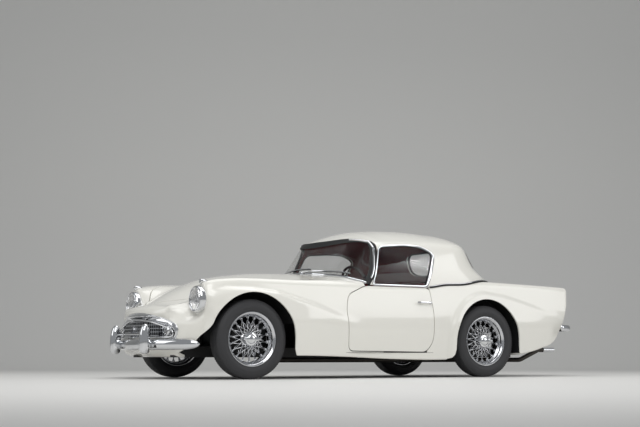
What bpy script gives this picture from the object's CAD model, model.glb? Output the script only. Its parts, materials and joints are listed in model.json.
"""A two-seat roadster with a removable hardtop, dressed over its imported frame.

Lengths are metres in the frame's axes: X rearwards, Y to the car's right, Z up.
"""

import json
import logging
import math
from contextlib import contextmanager
from dataclasses import dataclass, field
from enum import Enum
from typing import Any, Iterator, Sequence

import bmesh
import bpy
import numpy as np
from mathutils import Matrix, Vector
from mathutils.bvhtree import BVHTree

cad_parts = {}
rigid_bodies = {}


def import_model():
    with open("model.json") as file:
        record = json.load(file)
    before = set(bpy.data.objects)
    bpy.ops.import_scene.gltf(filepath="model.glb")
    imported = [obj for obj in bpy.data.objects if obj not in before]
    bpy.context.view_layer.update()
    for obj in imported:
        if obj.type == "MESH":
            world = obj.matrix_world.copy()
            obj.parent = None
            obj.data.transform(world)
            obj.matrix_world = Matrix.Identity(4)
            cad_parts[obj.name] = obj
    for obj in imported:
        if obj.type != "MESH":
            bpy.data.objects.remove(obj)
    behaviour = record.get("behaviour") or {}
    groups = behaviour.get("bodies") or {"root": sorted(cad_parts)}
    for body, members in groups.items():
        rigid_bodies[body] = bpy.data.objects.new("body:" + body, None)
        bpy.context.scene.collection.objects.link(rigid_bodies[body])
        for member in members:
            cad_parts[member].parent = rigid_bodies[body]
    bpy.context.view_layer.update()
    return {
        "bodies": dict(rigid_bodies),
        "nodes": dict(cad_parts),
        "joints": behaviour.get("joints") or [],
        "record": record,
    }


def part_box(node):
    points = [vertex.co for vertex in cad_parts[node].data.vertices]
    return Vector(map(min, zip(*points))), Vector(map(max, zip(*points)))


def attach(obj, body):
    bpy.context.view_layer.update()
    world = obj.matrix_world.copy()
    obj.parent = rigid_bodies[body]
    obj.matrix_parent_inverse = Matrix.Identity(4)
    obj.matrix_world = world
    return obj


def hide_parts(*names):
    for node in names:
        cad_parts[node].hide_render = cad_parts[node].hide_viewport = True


LOG = logging.getLogger("roadster")

FRONT_X = -1.2885  # front axle
REAR_X = 1.0485  # rear axle
WHEEL_Z = 0.307
SKIN = 0.014
PANEL_GAP = 0.0065
MM = 0.001

SIDES = (("right", 1), ("left", -1))
COAT_ROUGHNESS = 0.03

Point = tuple[float, float, float]
ORIGIN = (0, 0, 0)
Flat = tuple[float, float]
Outline = Sequence[Flat]
Solid = bpy.types.Object


# ---------------------------------------------------------------- finishes
def linear(code: str) -> tuple[float, float, float, float]:
    """Turns an sRGB hex colour into the renderer's linear values.

    Args:
        code: Six hexadecimal digits.

    Returns:
        Red, green, blue and an opaque alpha.
    """
    parts = [int(code[i : i + 2], 16) / 255 for i in (0, 2, 4)]
    rgb = [p / 12.92 if p <= 0.04045 else ((p + 0.055) / 1.055) ** 2.4 for p in parts]
    return (rgb[0], rgb[1], rgb[2], 1.0)


def fill(tree: bpy.types.NodeTree, node: bpy.types.Node, entries: dict[str | int, Any]) -> bpy.types.Node:
    """Links a node's inputs to other nodes' outputs, or sets them.

    Args:
        tree: The tree it is in.
        node: The node.
        entries: An output or a value for each input, by its name or number.

    Returns:
        The same node.
    """
    for key, value in entries.items():
        if isinstance(value, bpy.types.NodeSocket):
            tree.links.new(value, node.inputs[key])
        else:
            node.inputs[key].default_value = value
    return node


def add_node(tree: bpy.types.NodeTree, kind: str, entries: dict[str | int, Any],
        operation: str = "") -> bpy.types.Node:
    """Adds a node with its inputs filled, and its operation set where it has one."""
    node = tree.nodes.new(kind)
    if operation:
        node.operation = operation
    return fill(tree, node, entries)


@dataclass(frozen=True)
class Finish:
    """One real material.

    Attributes:
        name: What it is.
        color: sRGB hex colour.
        metallic: How far it is a bare metal.
        roughness: Mean surface roughness.
        spread: How much the roughness wanders.
        grain: Size of the finest pattern, in millimetres.
        bump: Height of that pattern, in millimetres.
        coat: Strength of a clear coat.
        transmission: How far light passes through.
        alpha: How much of it is there to be seen.
        shade: A second colour the pattern mixes in, if any.
    """

    name: str
    color: str
    metallic: float = 0.0
    roughness: float = 0.5
    spread: float = 0.05
    grain: float = 4.0
    bump: float = 0.0
    coat: float = 0.0
    transmission: float = 0.0
    alpha: float = 1.0
    shade: str = ""

    def build(self) -> bpy.types.Material:
        """Makes the node material, or returns the one already made."""
        made = bpy.data.materials.get(self.name)
        if made:
            return made
        material = bpy.data.materials.new(self.name)
        material.use_nodes = True
        tree = material.node_tree
        shader = tree.nodes["Principled BSDF"]
        place = add_node(tree, "ShaderNodeTexCoord", {}).outputs["Object"]
        grain_inputs = {"Scale": 1 / (self.grain * MM), "Detail": 4.0, "Vector": place}
        grain = add_node(tree, "ShaderNodeTexNoise", grain_inputs).outputs["Fac"]
        low, high = max(0.0, self.roughness - self.spread), min(1.0, self.roughness + self.spread)
        wander = add_node(tree, "ShaderNodeMapRange", {"To Min": low, "To Max": high, "Value": grain})
        fill(tree, shader, {
            "Base Color": linear(self.color), "Metallic": self.metallic,
            "Roughness": wander.outputs["Result"],
            "Coat Weight": self.coat, "Coat Roughness": COAT_ROUGHNESS,
            "Transmission Weight": self.transmission,
            "Alpha": self.alpha})
        if self.bump:
            relief = add_node(tree, "ShaderNodeBump",
                {"Distance": self.bump * MM, "Strength": 1.0, "Height": grain})
            fill(tree, shader, {"Normal": relief.outputs["Normal"]})
        if self.shade:
            mix = tree.nodes.new("ShaderNodeMix")
            mix.data_type = "RGBA"
            fill(tree, mix, {"A": linear(self.color), "B": linear(self.shade), "Factor": grain})
            fill(tree, shader, {"Base Color": mix.outputs["Result"]})
        return material


PAINT = Finish("White body paint", "F0EEE6", roughness=0.16, spread=0.03, grain=40, coat=0.6)
CHROME = Finish("Chrome plate", "DCDDDF", metallic=1.0, roughness=0.06, spread=0.03, grain=30)
SPOKE_CHROME = Finish("Spoke chrome", "D2D3D6", metallic=1.0, roughness=0.16, grain=10)
TYRE_RUBBER = Finish("Tyre rubber", "2C2C2E", roughness=0.62, spread=0.12, grain=2.5, bump=0.08,
    shade="3A3A3C")
SEAL_RUBBER = Finish("Seal rubber", "101011", roughness=0.6, spread=0.1, grain=3, bump=0.05)
BLACK_PAINT = Finish("Chassis black", "141415", roughness=0.55, spread=0.15, grain=8, bump=0.05,
    shade="1E1D1C")
UNDERBODY = Finish("Underbody coating", "0E0E0F", roughness=0.85, spread=0.1, grain=6, bump=0.4)
RED_HIDE = Finish("Dark red hide", "560C14", roughness=0.48, spread=0.1, grain=1.6, bump=0.12, shade="5A161B")
RED_CARPET = Finish("Dark red carpet", "3C0C11", roughness=0.95, spread=0.03, grain=1.2, bump=0.8,
    shade="54161B")
RED_LINING = Finish("Dark red lining", "5C0A14", roughness=0.85, spread=0.08, grain=1.5, bump=0.15,
    shade="6E101C")
CLEAR_GLASS = Finish("Clear glass", "F4FAF8", roughness=0.0, spread=0.0, grain=100,
    transmission=1.0, alpha=0.14)
LAMP_GLASS = Finish("Fluted lamp glass", "FBFBF8", roughness=0.03, spread=0.02, grain=9, bump=0.5,
    transmission=1.0, alpha=0.45)
RED_GLASS = Finish("Red lamp glass", "B3121A", roughness=0.08, spread=0.03, grain=6, bump=0.4,
    transmission=0.6)
REFLECTOR = Finish("Silvered reflector", "E8E8EA", metallic=1.0, roughness=0.18, spread=0.04, grain=12)
CAST_IRON = Finish("Engine grey", "3E4244", metallic=0.3, roughness=0.6, spread=0.15, grain=5, bump=0.3,
    shade="4B4E50")
DULL_STEEL = Finish("Heat stained steel", "3E3B38", metallic=0.8, roughness=0.5, spread=0.15, grain=25,
    bump=0.05, shade="504B46")
BLACK_PLASTIC = Finish("Black rim plastic", "111112", roughness=0.25, spread=0.06, grain=6, bump=0.02)
FLOOR_FINISH = Finish("Studio floor", "E4E3E0", roughness=0.55, grain=30)


# ---------------------------------------------------------------- mesh tools
class Shading(Enum):
    """How a made mesh's faces meet."""

    FLAT = 0
    SOFT = 30
    ROUND = 50


@contextmanager
def edited(obj: Solid) -> Iterator[bmesh.types.BMesh]:
    """Opens an object's mesh for editing and writes it back."""
    bm = bmesh.new()
    bm.from_mesh(obj.data)
    yield bm
    bm.to_mesh(obj.data)
    bm.free()


def placed(name: str, mesh: bpy.types.Mesh) -> Solid:
    """A mesh as an object in the scene."""
    obj = bpy.data.objects.new(name, mesh)
    bpy.context.scene.collection.objects.link(obj)
    return obj


def new_object(name: str, verts: Sequence[Point], faces: Sequence[Sequence[int]], shading: Shading) -> Solid:
    """Makes a linked mesh object with outward faces.

    Args:
        name: The object's name.
        verts: Its corners.
        faces: Its faces, as corner numbers.
        shading: How the faces meet.

    Returns:
        The object, at the origin.
    """
    mesh = bpy.data.meshes.new(name)
    mesh.from_pydata([tuple(map(float, v)) for v in verts], [], [list(map(int, f)) for f in faces])
    obj = placed(name, mesh)
    with edited(obj) as bm:
        bmesh.ops.recalc_face_normals(bm, faces=bm.faces)
        if bm.calc_volume(signed=True) < 0:
            bmesh.ops.reverse_faces(bm, faces=bm.faces)
    shade(obj, shading)
    return obj


def shade(obj: Solid, shading: Shading) -> None:
    """Sets smooth shading up to the mode's angle."""
    if shading is Shading.FLAT:
        obj.data.shade_flat()
        return
    obj.data.shade_smooth()
    obj.data.set_sharp_from_angle(angle=math.radians(shading.value))


def grid_faces(rows: int, columns: int, wrap: bool = False, loop: bool = False) -> list[Sequence[int]]:
    """Quads of a grid of points stored row by row.

    Args:
        rows: Number of rows.
        columns: Number of points in a row.
        wrap: Whether each row closes on itself.
        loop: Whether the last row joins the first.
    """
    faces: list[Sequence[int]] = []
    for i in range(rows if loop else rows - 1):
        n = (i + 1) % rows
        for j in range(columns if wrap else columns - 1):
            k = (j + 1) % columns
            faces.append((i * columns + j, n * columns + j, n * columns + k, i * columns + k))
    return faces


def tube_solid(name: str, grid: np.ndarray, shading: Shading = Shading.SOFT) -> Solid:
    """A closed solid from rings of points, capped at both ends.

    Args:
        name: The object's name.
        grid: Rings, as an array of ring, point and coordinate.
        shading: How the faces meet.
    """
    rows, columns = grid.shape[:2]
    verts = list(map(tuple, grid.reshape(-1, 3)))
    faces = grid_faces(rows, columns, wrap=True)
    for ring in (0, rows - 1):
        verts.append(tuple(grid[ring].mean(axis=0)))
        centre = len(verts) - 1
        for j in range(columns):
            faces.append((ring * columns + j, ring * columns + (j + 1) % columns, centre))
    return new_object(name, verts, faces, shading)


def run_faces(count: int) -> list[Sequence[int]]:
    """Faces of an outline of count points run to a copy of itself, with both ends closed."""
    ends: list[Sequence[int]] = [tuple(range(count)), tuple(range(2 * count - 1, count - 1, -1))]
    return ends + [(i, (i + 1) % count, count + (i + 1) % count, count + i) for i in range(count)]


def prism(name: str, outline: Outline, low: float, high: float, plane: str) -> Solid:
    """A solid from a closed outline, run along the axis square to its plane.

    Args:
        name: The object's name.
        outline: Points of the outline.
        low: Where it starts along that axis.
        high: Where it ends.
        plane: "XZ", "XY" or "YZ".
    """
    picks = {"XZ": (0, 2, 1), "XY": (0, 1, 2), "YZ": (2, 0, 1)}[plane]
    verts = [tuple((a, b, end)[k] for k in picks) for end in (low, high) for a, b in outline]
    return new_object(name, verts, run_faces(len(outline)), Shading.FLAT)


def toward(here: Flat, other: Flat, reach: float) -> Flat:
    """The point that lies reach from here on the way to another."""
    span = math.dist(here, other)
    return tuple(h + (o - h) * reach / span for h, o in zip(here, other))


def bend(entry: Flat, corner: Flat, leave: Flat, t: float) -> Flat:
    """A point on the curve that rounds a corner, from its entry at 0 to its end at 1."""
    return tuple((1 - t) ** 2 * a + 2 * t * (1 - t) * h + t * t * b for a, h, b in zip(entry, corner, leave))


def rounded(outline: Outline, radius: float, steps: int = 8) -> list[Flat]:
    """A closed outline with every corner rounded.

    Args:
        outline: Its corners.
        radius: Reach of the rounding along each side.
        steps: Points on each corner.
    """
    made = []
    count = len(outline)
    for i, here in enumerate(outline):
        sides = (outline[i - 1], outline[(i + 1) % count])
        ends = [toward(here, other, min(radius, 0.45 * math.dist(here, other))) for other in sides]
        made += [bend(ends[0], here, ends[1], k / steps) for k in range(steps + 1)]
    return made


def grown(outline: Outline, gap: float) -> list[Flat]:
    """A closed outline pushed outwards along its corners' bisectors."""
    area = sum(a[0] * b[1] - b[0] * a[1] for a, b in zip(outline, list(outline[1:]) + [outline[0]]))
    sign = 1 if area > 0 else -1
    made = []
    count = len(outline)
    for i, here in enumerate(outline):
        normals = []
        for a, b in ((outline[i - 1], here), (here, outline[(i + 1) % count])):
            dx, dy = b[0] - a[0], b[1] - a[1]
            size = math.hypot(dx, dy) or 1
            normals.append((sign * dy / size, -sign * dx / size))
        nx, ny = normals[0][0] + normals[1][0], normals[0][1] + normals[1][1]
        size = max(0.3, (nx * normals[0][0] + ny * normals[0][1]))
        made.append((here[0] + gap * nx / size, here[1] + gap * ny / size))
    return made


def disc_outline(x: float, z: float, radius: float, steps: int = 96) -> list[Flat]:
    """A circle's outline."""
    turns = (2 * math.pi * k / steps for k in range(steps))
    return [(x + radius * math.cos(t), z + radius * math.sin(t)) for t in turns]


def boolean(obj: Solid, tool: Solid, operation: str) -> None:
    """Applies a mesh boolean and leaves the tool as it is."""
    step = obj.modifiers.new("cut", "BOOLEAN")
    step.operation = operation
    step.object = tool
    step.solver = "MANIFOLD"
    graph = bpy.context.evaluated_depsgraph_get()
    made = bpy.data.meshes.new_from_object(obj.evaluated_get(graph))
    obj.modifiers.remove(step)
    old = obj.data
    obj.data = made
    bpy.data.meshes.remove(old)


def copy_of(obj: Solid, name: str) -> Solid:
    """A linked copy of an object with its own mesh."""
    return placed(name, obj.data.copy())


def discard(*objects: Solid) -> None:
    """Removes working objects."""
    for obj in objects:
        bpy.data.objects.remove(obj)


def mirrored(obj: Solid, name: str) -> Solid:
    """The same piece on the other side of the car."""
    made = copy_of(obj, name)
    made.data.transform(Matrix.Diagonal((1, -1, 1, 1)))
    made.data.flip_normals()
    return made


def joined(name: str, objects: Sequence[Solid]) -> Solid:
    """One object from several, keeping their materials."""
    verts: list[Point] = []
    faces: list[list[int]] = []
    slots: list[bpy.types.Material] = []
    picks: list[int] = []
    smooth: list[bool] = []
    sharp: list[tuple[int, int]] = []
    for obj in objects:
        base = len(verts)
        verts += [tuple(v.co) for v in obj.data.vertices]
        mats = list(obj.data.materials) or [None]
        for face in obj.data.polygons:
            faces.append([base + v for v in face.vertices])
            material = mats[min(face.material_index, len(mats) - 1)]
            if material not in slots:
                slots.append(material)
            picks.append(slots.index(material))
            smooth.append(face.use_smooth)
        sharp += [tuple(sorted((base + e.vertices[0], base + e.vertices[1]))) for e in obj.data.edges
            if e.use_edge_sharp]
    mesh = bpy.data.meshes.new(name)
    mesh.from_pydata(verts, [], faces)
    for material in slots:
        mesh.materials.append(material)
    mesh.polygons.foreach_set("material_index", picks)
    mesh.polygons.foreach_set("use_smooth", smooth)
    keys = set(sharp)
    for edge in mesh.edges:
        if tuple(sorted(edge.vertices)) in keys:
            edge.use_edge_sharp = True
    mesh.update()
    made = placed(name, mesh)
    discard(*objects)
    return made


def revolve(name: str, profile: Outline, centre: Point, axis: str, steps: int = 64,
            shading: Shading = Shading.SOFT) -> Solid:
    """A turned piece; a profile that starts off the axis closes on itself as a ring.

    Args:
        name: The object's name.
        profile: Points of radius and position along the axis.
        centre: A point on the axis.
        axis: "X", "Y" or "Z".
        steps: Number of facets round it.
        shading: How the faces meet.
    """
    verts = []
    for k in range(steps):
        turn = 2 * math.pi * k / steps
        c, s = math.cos(turn), math.sin(turn)
        for r, t in profile:
            local = {"X": (t, r * c, r * s), "Y": (r * c, t, r * s), "Z": (r * c, r * s, t)}[axis]
            verts.append(tuple(p + q for p, q in zip(centre, local)))
    faces = grid_faces(steps, len(profile), wrap=profile[0][0] > 0, loop=True)
    obj = new_object(name, verts, faces, shading)
    with edited(obj) as bm:
        bmesh.ops.remove_doubles(bm, verts=bm.verts, dist=1e-6)
        bmesh.ops.recalc_face_normals(bm, faces=bm.faces)
    shade(obj, shading)
    return obj


def section_rings(path: Sequence[Point], sections: Sequence[Outline], up: Point,
        closed: bool = False) -> list[list[Point]]:
    """Each section, sideways and upwards, set square to the path at its point.

    Args:
        path: Points of a bar's centre line.
        sections: The section at each point.
        up: Their upward direction, roughly.
        closed: Whether the path closes on itself.
    """
    points = [Vector(p) for p in path]
    last = len(points) - 1
    rings = []
    for i, here in enumerate(points):
        before = points[i - 1] if (closed or i) else here
        after = points[(i + 1) % len(points)] if (closed or i < last) else here
        along = (after - before).normalized()
        side = along.cross(Vector(up)).normalized()
        top = side.cross(along)
        rings.append([tuple(here + side * a + top * b) for a, b in sections[i]])
    return rings


def sweep(name: str, path: Sequence[Point], section: Outline, closed: bool = False,
          up: Point = (0, 0, 1), shading: Shading = Shading.ROUND) -> Solid:
    """A bar with a constant section along a path.

    Args:
        name: The object's name.
        path: Points of its centre line.
        section: Outline of its section, sideways and upwards.
        closed: Whether the path closes on itself.
        up: The section's upward direction, roughly.
        shading: How the faces meet.
    """
    count, size = len(path), len(section)
    rings = section_rings(path, [section] * count, up, closed)
    verts = [point for ring in rings for point in ring]
    faces = grid_faces(count, size, wrap=True, loop=closed)
    if not closed:
        faces.append(tuple(range(size)))
        faces.append(tuple((count - 1) * size + j for j in reversed(range(size))))
    return new_object(name, verts, faces, shading)


def circle_section(radius: float, steps: int = 12) -> list[Flat]:
    """A round bar's section."""
    return [(radius * math.cos(2 * math.pi * k / steps), radius * math.sin(2 * math.pi * k / steps))
        for k in range(steps)]


def flat_section(width: float, height: float, edge: float = 0.003) -> list[Flat]:
    """A flat bar's section with eased corners."""
    w, h = width / 2, height / 2
    return rounded([(-w, -h), (w, -h), (w, h), (-w, h)], edge, 2)


def smooth_path(points: Sequence[Point], steps: int = 10) -> list[Point]:
    """A curve through points, evenly eased between them."""
    made = []
    data = [Vector(p) for p in points]
    for i in range(len(data) - 1):
        p0 = data[max(i - 1, 0)]
        p1, p2 = data[i], data[i + 1]
        p3 = data[min(i + 2, len(data) - 1)]
        for k in range(steps):
            t = k / steps
            made.append(tuple(0.5 * ((2 * p1) + (p2 - p0) * t + (2 * p0 - 5 * p1 + 4 * p2 - p3) * t * t
                                     + (3 * p1 - p0 - 3 * p2 + p3) * t ** 3)))
    made.append(tuple(data[-1]))
    return made


def block(name: str, low: Point, high: Point, ease: float = 0.004) -> Solid:
    """A box with eased edges."""
    verts = [(x, y, z) for x in (low[0], high[0]) for y in (low[1], high[1]) for z in (low[2], high[2])]
    faces = [(0, 1, 3, 2), (4, 6, 7, 5), (0, 4, 5, 1), (2, 3, 7, 6), (0, 2, 6, 4), (1, 5, 7, 3)]
    obj = new_object(name, verts, faces, Shading.FLAT)
    if ease:
        with edited(obj) as bm:
            bmesh.ops.bevel(bm, geom=bm.edges, offset=ease, segments=3, affect="EDGES", profile=0.5)
        shade(obj, Shading.SOFT)
    return obj


def coated(obj: Solid, finish: Finish) -> Solid:
    """Gives an object one finish all over."""
    obj.data.materials.clear()
    obj.data.materials.append(finish.build())
    return obj


@dataclass(frozen=True)
class Turned:
    """A turned piece.

    Attributes:
        name: What it is.
        profile: Its points of radius and distance along its axis, in millimetres.
        finish: Its finish.
        steps: Facets round it.
        axis: "X", "Y" or "Z".
    """

    name: str
    profile: Outline
    finish: Finish
    steps: int = 40
    axis: str = "X"

    def at(self, centre: Point) -> Solid:
        """Makes it at a place."""
        profile = [(radius * MM, along * MM) for radius, along in self.profile]
        return coated(revolve(self.name, profile, centre, self.axis, self.steps), self.finish)


def show(obj: Solid, rides: str, node: str = "") -> None:
    """Puts a piece on a body, in place of a CAD node where it stands for one.

    Args:
        obj: The piece.
        rides: The body that carries it.
        node: The CAD node it stands for, if any.
    """
    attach(obj, rides)
    if node:
        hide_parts(node)


# ---------------------------------------------------------------- smooth tables
def monotone(xs: np.ndarray, ys: np.ndarray, at: np.ndarray) -> np.ndarray:
    """Values at many places from a table, curved between rows without overshoot.

    Args:
        xs: The table's places, rising.
        ys: Its values.
        at: Where values are wanted.
    """
    step = np.diff(xs)
    rise = np.diff(ys) / step
    slope = np.zeros(len(xs))
    slope[0], slope[-1] = rise[0], rise[-1]
    for i in range(1, len(xs) - 1):
        both = rise[i - 1] * rise[i]
        slope[i] = 2 * both / (rise[i - 1] + rise[i]) if both > 0 else 0.0
    at = np.clip(at, xs[0], xs[-1])
    k = np.clip(np.searchsorted(xs, at, side="right") - 1, 0, len(xs) - 2)
    h = step[k]
    t = (at - xs[k]) / h
    up = ys[k + 1] - ys[k]
    a, b = slope[k] * h, slope[k + 1] * h
    return ys[k] + t * (a + t * (3 * up - 2 * a - b + t * (a + b - 2 * up)))


def eased(low: float, high: float, value: np.ndarray) -> np.ndarray:
    """0 below low, 1 above high, smooth between."""
    t = np.clip((value - low) / (high - low), 0, 1)
    return t * t * (3 - 2 * t)


# ---------------------------------------------------------------- body master
LOOP_COLUMNS = ("x", "bow", "low_z", "low_y", "waist_y", "waist_z", "shoulder_y", "shoulder_z", "valley_y",
    "valley_z", "crown_z")
LOOPS = [  # millimetres from the front axle; one closed loop a row, from the nose to the tail
    (-640, 85, 330, 385, 445, 415, 385, 478, 250, 484, 486),
    (-637, 95, 305, 405, 480, 415, 420, 498, 250, 504, 508),
    (-630, 120, 255, 440, 540, 425, 480, 545, 320, 534, 540),
    (-600, 140, 192, 485, 604, 440, 560, 612, 360, 556, 570),
    (-540, 150, 168, 540, 654, 455, 620, 690, 385, 564, 597),
    (-450, 125, 165, 582, 677, 468, 646, 748, 405, 592, 641),
    (-320, 70, 170, 626, 702, 480, 662, 775, 435, 648, 712),
    (-150, 20, 176, 660, 730, 490, 670, 785, 475, 722, 784),
    (0, 0, 182, 674, 734, 495, 668, 788, 505, 762, 832),
    (450, 0, 181, 678, 726, 480, 656, 782, 525, 780, 884),
    (880, 0, 172, 682, 722, 470, 658, 772, 505, 826, 876),
    (1250, 0, 157, 682, 724, 470, 664, 768, 520, 800, 868),
    (1747, 0, 147, 683, 728, 480, 666, 774, 533, 786, 850),
    (1900, 0, 149, 682, 724, 484, 664, 806, 531, 802, 864),
    (2177, 0, 158, 677, 714, 490, 656, 823, 528, 818, 870),
    (2337, 0, 168, 672, 708, 492, 654, 826, 528, 820, 874),
    (2757, 0, 202, 667, 700, 500, 656, 820, 530, 806, 860),
    (3097, 0, 284, 660, 692, 510, 656, 814, 528, 786, 830),
    (3290, 0, 338, 648, 686, 520, 650, 809, 522, 770, 806),
]
TAIL_EDGE = [(3176, 340), (3246, 484), (3299, 638), (3314, 770), (3304, 812), (3290, 880)]
FRONT_CREST = [(0, 706), (220, 687), (403, 645), (600, 590), (800, 528), (1000, 470)]
REAR_CREST = [(0, 737), (216, 712), (446, 661), (704, 596), (900, 548), (1020, 520)]
# the flares' half widths, at places from each axle
FRONT_FACE = [(-420, 690), (-300, 716), (-150, 745), (0, 762), (500, 766)]
REAR_FACE = [(-420, 744), (-200, 738), (0, 730), (361, 714), (1000, 696)]
CORNER_REACHES = (170, 58, 45, 250)
CORNER_SHARE = 0.46  # of a side, at most, that a corner's rounding takes
SIDE_COUNTS = (14, 14, 12, 10, 4, 8, 14, 8)  # points on each straight and corner, sill to crown
NOSE_LINE = (574, 607)
NOSE_FACE = -390
TAIL_ROUND = 14.0
TAIL_START, TAIL_END = 3080, 3290  # where the tail's lean sets in, and the last row
TAIL_MIDDLE = (0.0, 560.0)  # what the tail's face closes in on


def station_rows() -> np.ndarray:
    """Places of the master's rows, closer together at the nose and arches."""
    spans = [(-640, -560, 4), (-560, -280, 9), (-280, 3150, 14), (3150, 3290, 9)]
    rows = [x for low, high, step in spans for x in np.arange(low, high, step)]
    return np.array(rows + [3290.0])


def table_at(rows: np.ndarray) -> dict[str, np.ndarray]:
    """Every loop column at each row, smoothed along the car."""
    data = np.array(LOOPS, float)
    fine = np.arange(-640, 3291, 5.0)
    found = {}
    for index, name in enumerate(LOOP_COLUMNS[1:], start=1):
        line = monotone(data[:, 0], data[:, index], fine)
        smooth = line.copy()
        for k, x in enumerate(fine):
            sigma = float(np.interp(x, [-640, -560, -300, 0, 3100, 3290], [1, 8, 28, 55, 45, 12]))
            reach = int(min(3 * sigma / 5, k, len(fine) - 1 - k))
            if reach < 1:
                continue
            span = np.arange(-reach, reach + 1)
            weight = np.exp(-0.5 * (span * 5 / sigma) ** 2)
            smooth[k] = float((line[k - reach : k + reach + 1] * weight).sum() / weight.sum())
        found[name] = np.interp(rows, fine, smooth)
    return found


def half_section(corners: Outline) -> np.ndarray:
    """Points of one half section from its corners, sill to crown, with rounded turns."""
    line = [*corners, (-corners[-2][0], corners[-2][1])]
    points: list[Flat] = []
    start = line[0]
    for i, most in enumerate(CORNER_REACHES, start=1):
        before, here, after = line[i - 1 : i + 2]
        reach = min(most, CORNER_SHARE * math.dist(before, here), CORNER_SHARE * math.dist(here, after))
        entry, leave = toward(here, before, reach), toward(here, after, reach)
        straight, turn = SIDE_COUNTS[2 * i - 2 : 2 * i]
        for k in range(straight):
            points.append(tuple(a + (b - a) * (k / straight) for a, b in zip(start, entry)))
        end = 0.5 if i == len(CORNER_REACHES) else 1.0
        points += [bend(entry, here, leave, k / turn * end) for k in range(turn)]
        start = leave
    points.append(bend(entry, here, leave, 0.5))
    return np.array(points)


def flare_push(x: np.ndarray, y: np.ndarray, z: np.ndarray) -> np.ndarray:
    """Half widths with both arch flares raised, in millimetres."""
    for axle, crest, fades, faces in (
            (0.0, FRONT_CREST, (-560, -400, 420, 1060), FRONT_FACE),
            (2337.0, REAR_CREST, (-520, -390, 380, 1060), REAR_FACE)):
        dx = x - axle
        top = np.interp(dx, [c[0] for c in crest], [c[1] for c in crest])
        radius = crest[0][1] - 307
        ahead = radius - np.where(z > 307, np.hypot(dx, z - 307), np.abs(dx))
        depth = np.where(dx < 0, ahead, top - z)
        fade = eased(fades[0], fades[1], dx) * (1 - eased(fades[2], fades[3], dx))
        soft = 40 + 12 * eased(200, 900, dx)
        weight = eased(0, 1, (depth + 4) / soft) ** 0.8 * fade
        widest = np.interp(dx, [f[0] for f in faces], [f[1] for f in faces])
        face = widest - 0.12 * np.maximum(0, z - 470) - 0.1 * np.maximum(0, 440 - z)
        y = y + weight * np.maximum(0, face - y)
    return y


def shrunk(grid: np.ndarray, inset: float) -> np.ndarray:
    """The master's points moved in along its own directions, in millimetres, and open underneath."""
    along = np.gradient(grid, axis=0)
    around = np.gradient(grid, axis=1)
    out = np.cross(around, along)
    out /= np.maximum(np.linalg.norm(out, axis=2, keepdims=True), 1e-9)
    made = grid - inset * out
    nose = 1 - eased(-640, -560, grid[:, :, 0])
    made[:, :, 0] += inset * nose * (1 - np.abs(out[:, :, 0]))
    lowest = grid[:, :1, 2] + inset
    made[:, :, 2] = np.maximum(made[:, :, 2], lowest)
    foot, count = SIDE_COUNTS[0], grid.shape[1]
    for row in made:
        if row[0, 0] < -455:
            continue
        for step in (1, -1):
            low = 0 if step > 0 else count - 1
            end = row[low + step * foot].copy()
            start = np.array([row[low, 0], row[low, 1], -60.0])
            for k in range(foot):
                row[low + step * k] = start + (end - start) * k / foot
    return made


def master_grid(inset: float) -> np.ndarray:
    """The body's outer form as an array of row, column and coordinate, in metres.

    Args:
        inset: How far it is shrunk, in millimetres.
    """
    rows = station_rows()
    at = table_at(rows)
    edge_z = [z for _, z in TAIL_EDGE]
    edge_x = [x for x, _ in TAIL_EDGE]
    grid = []
    for k, row in enumerate(rows):
        corners = [(at[f"{place}_y"][k], at[f"{place}_z"][k])
            for place in ("low", "waist", "shoulder", "valley")]
        half = half_section(corners + [(0.0, at["crown_z"][k])])
        y, z = half[:, 0], half[:, 1]
        share = np.clip(y / at["waist_y"][k], 0, 1.2) ** 2.2
        x = row + at["bow"][k] * share
        end = np.interp(z, edge_z, edge_x)
        lean = TAIL_START + (x - TAIL_START) * (end - TAIL_START) / (TAIL_END - TAIL_START)
        x = np.where(x > TAIL_START, lean, x)
        y = flare_push(x, y, z)
        away = np.hypot(y - NOSE_LINE[0], z - NOSE_LINE[1])
        shift = NOSE_FACE - x
        pod = np.where(shift < 0, 1 - eased(106, 205, away), 1 - eased(108, 200, away))
        x = x + pod * shift * (x < 0)
        right = np.stack([x, y, z], axis=1)
        left = right[-2::-1] * np.array([1, -1, 1])
        grid.append(np.concatenate([right, left]))
    made = np.array(grid)
    end_row = made[-1].copy()
    centre = np.array(TAIL_MIDDLE)
    span = end_row[:, 1:] - centre
    size = np.linalg.norm(span, axis=1, keepdims=True)
    caps = []
    for turn in (25, 50, 72, 90):
        ring = end_row.copy()
        ring[:, 1:] = centre + span * (1 - TAIL_ROUND * (1 - math.cos(math.radians(turn))) / size)
        ring[:, 0] = end_row[:, 0] - TAIL_ROUND + TAIL_ROUND * math.sin(math.radians(turn))
        caps.append(ring)
    made[-1, :, 0] -= TAIL_ROUND
    made[-2, :, 0] = np.minimum(made[-2, :, 0], made[-1, :, 0] - 2)
    made[-3, :, 0] = np.minimum(made[-3, :, 0], made[-2, :, 0] - 2)
    for share in (0.9, 0.75, 0.55, 0.35, 0.15):
        ring = caps[3].copy()
        ring[:, 1:] = centre + (caps[3][:, 1:] - centre) * share
        ring[:, 0] = np.interp(ring[:, 2], edge_z, edge_x)
        caps.append(ring)
    made = np.concatenate([made, np.array(caps)])
    if inset:
        made = shrunk(made, inset)
    made = made * MM
    made[:, :, 0] += FRONT_X
    return made


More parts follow.
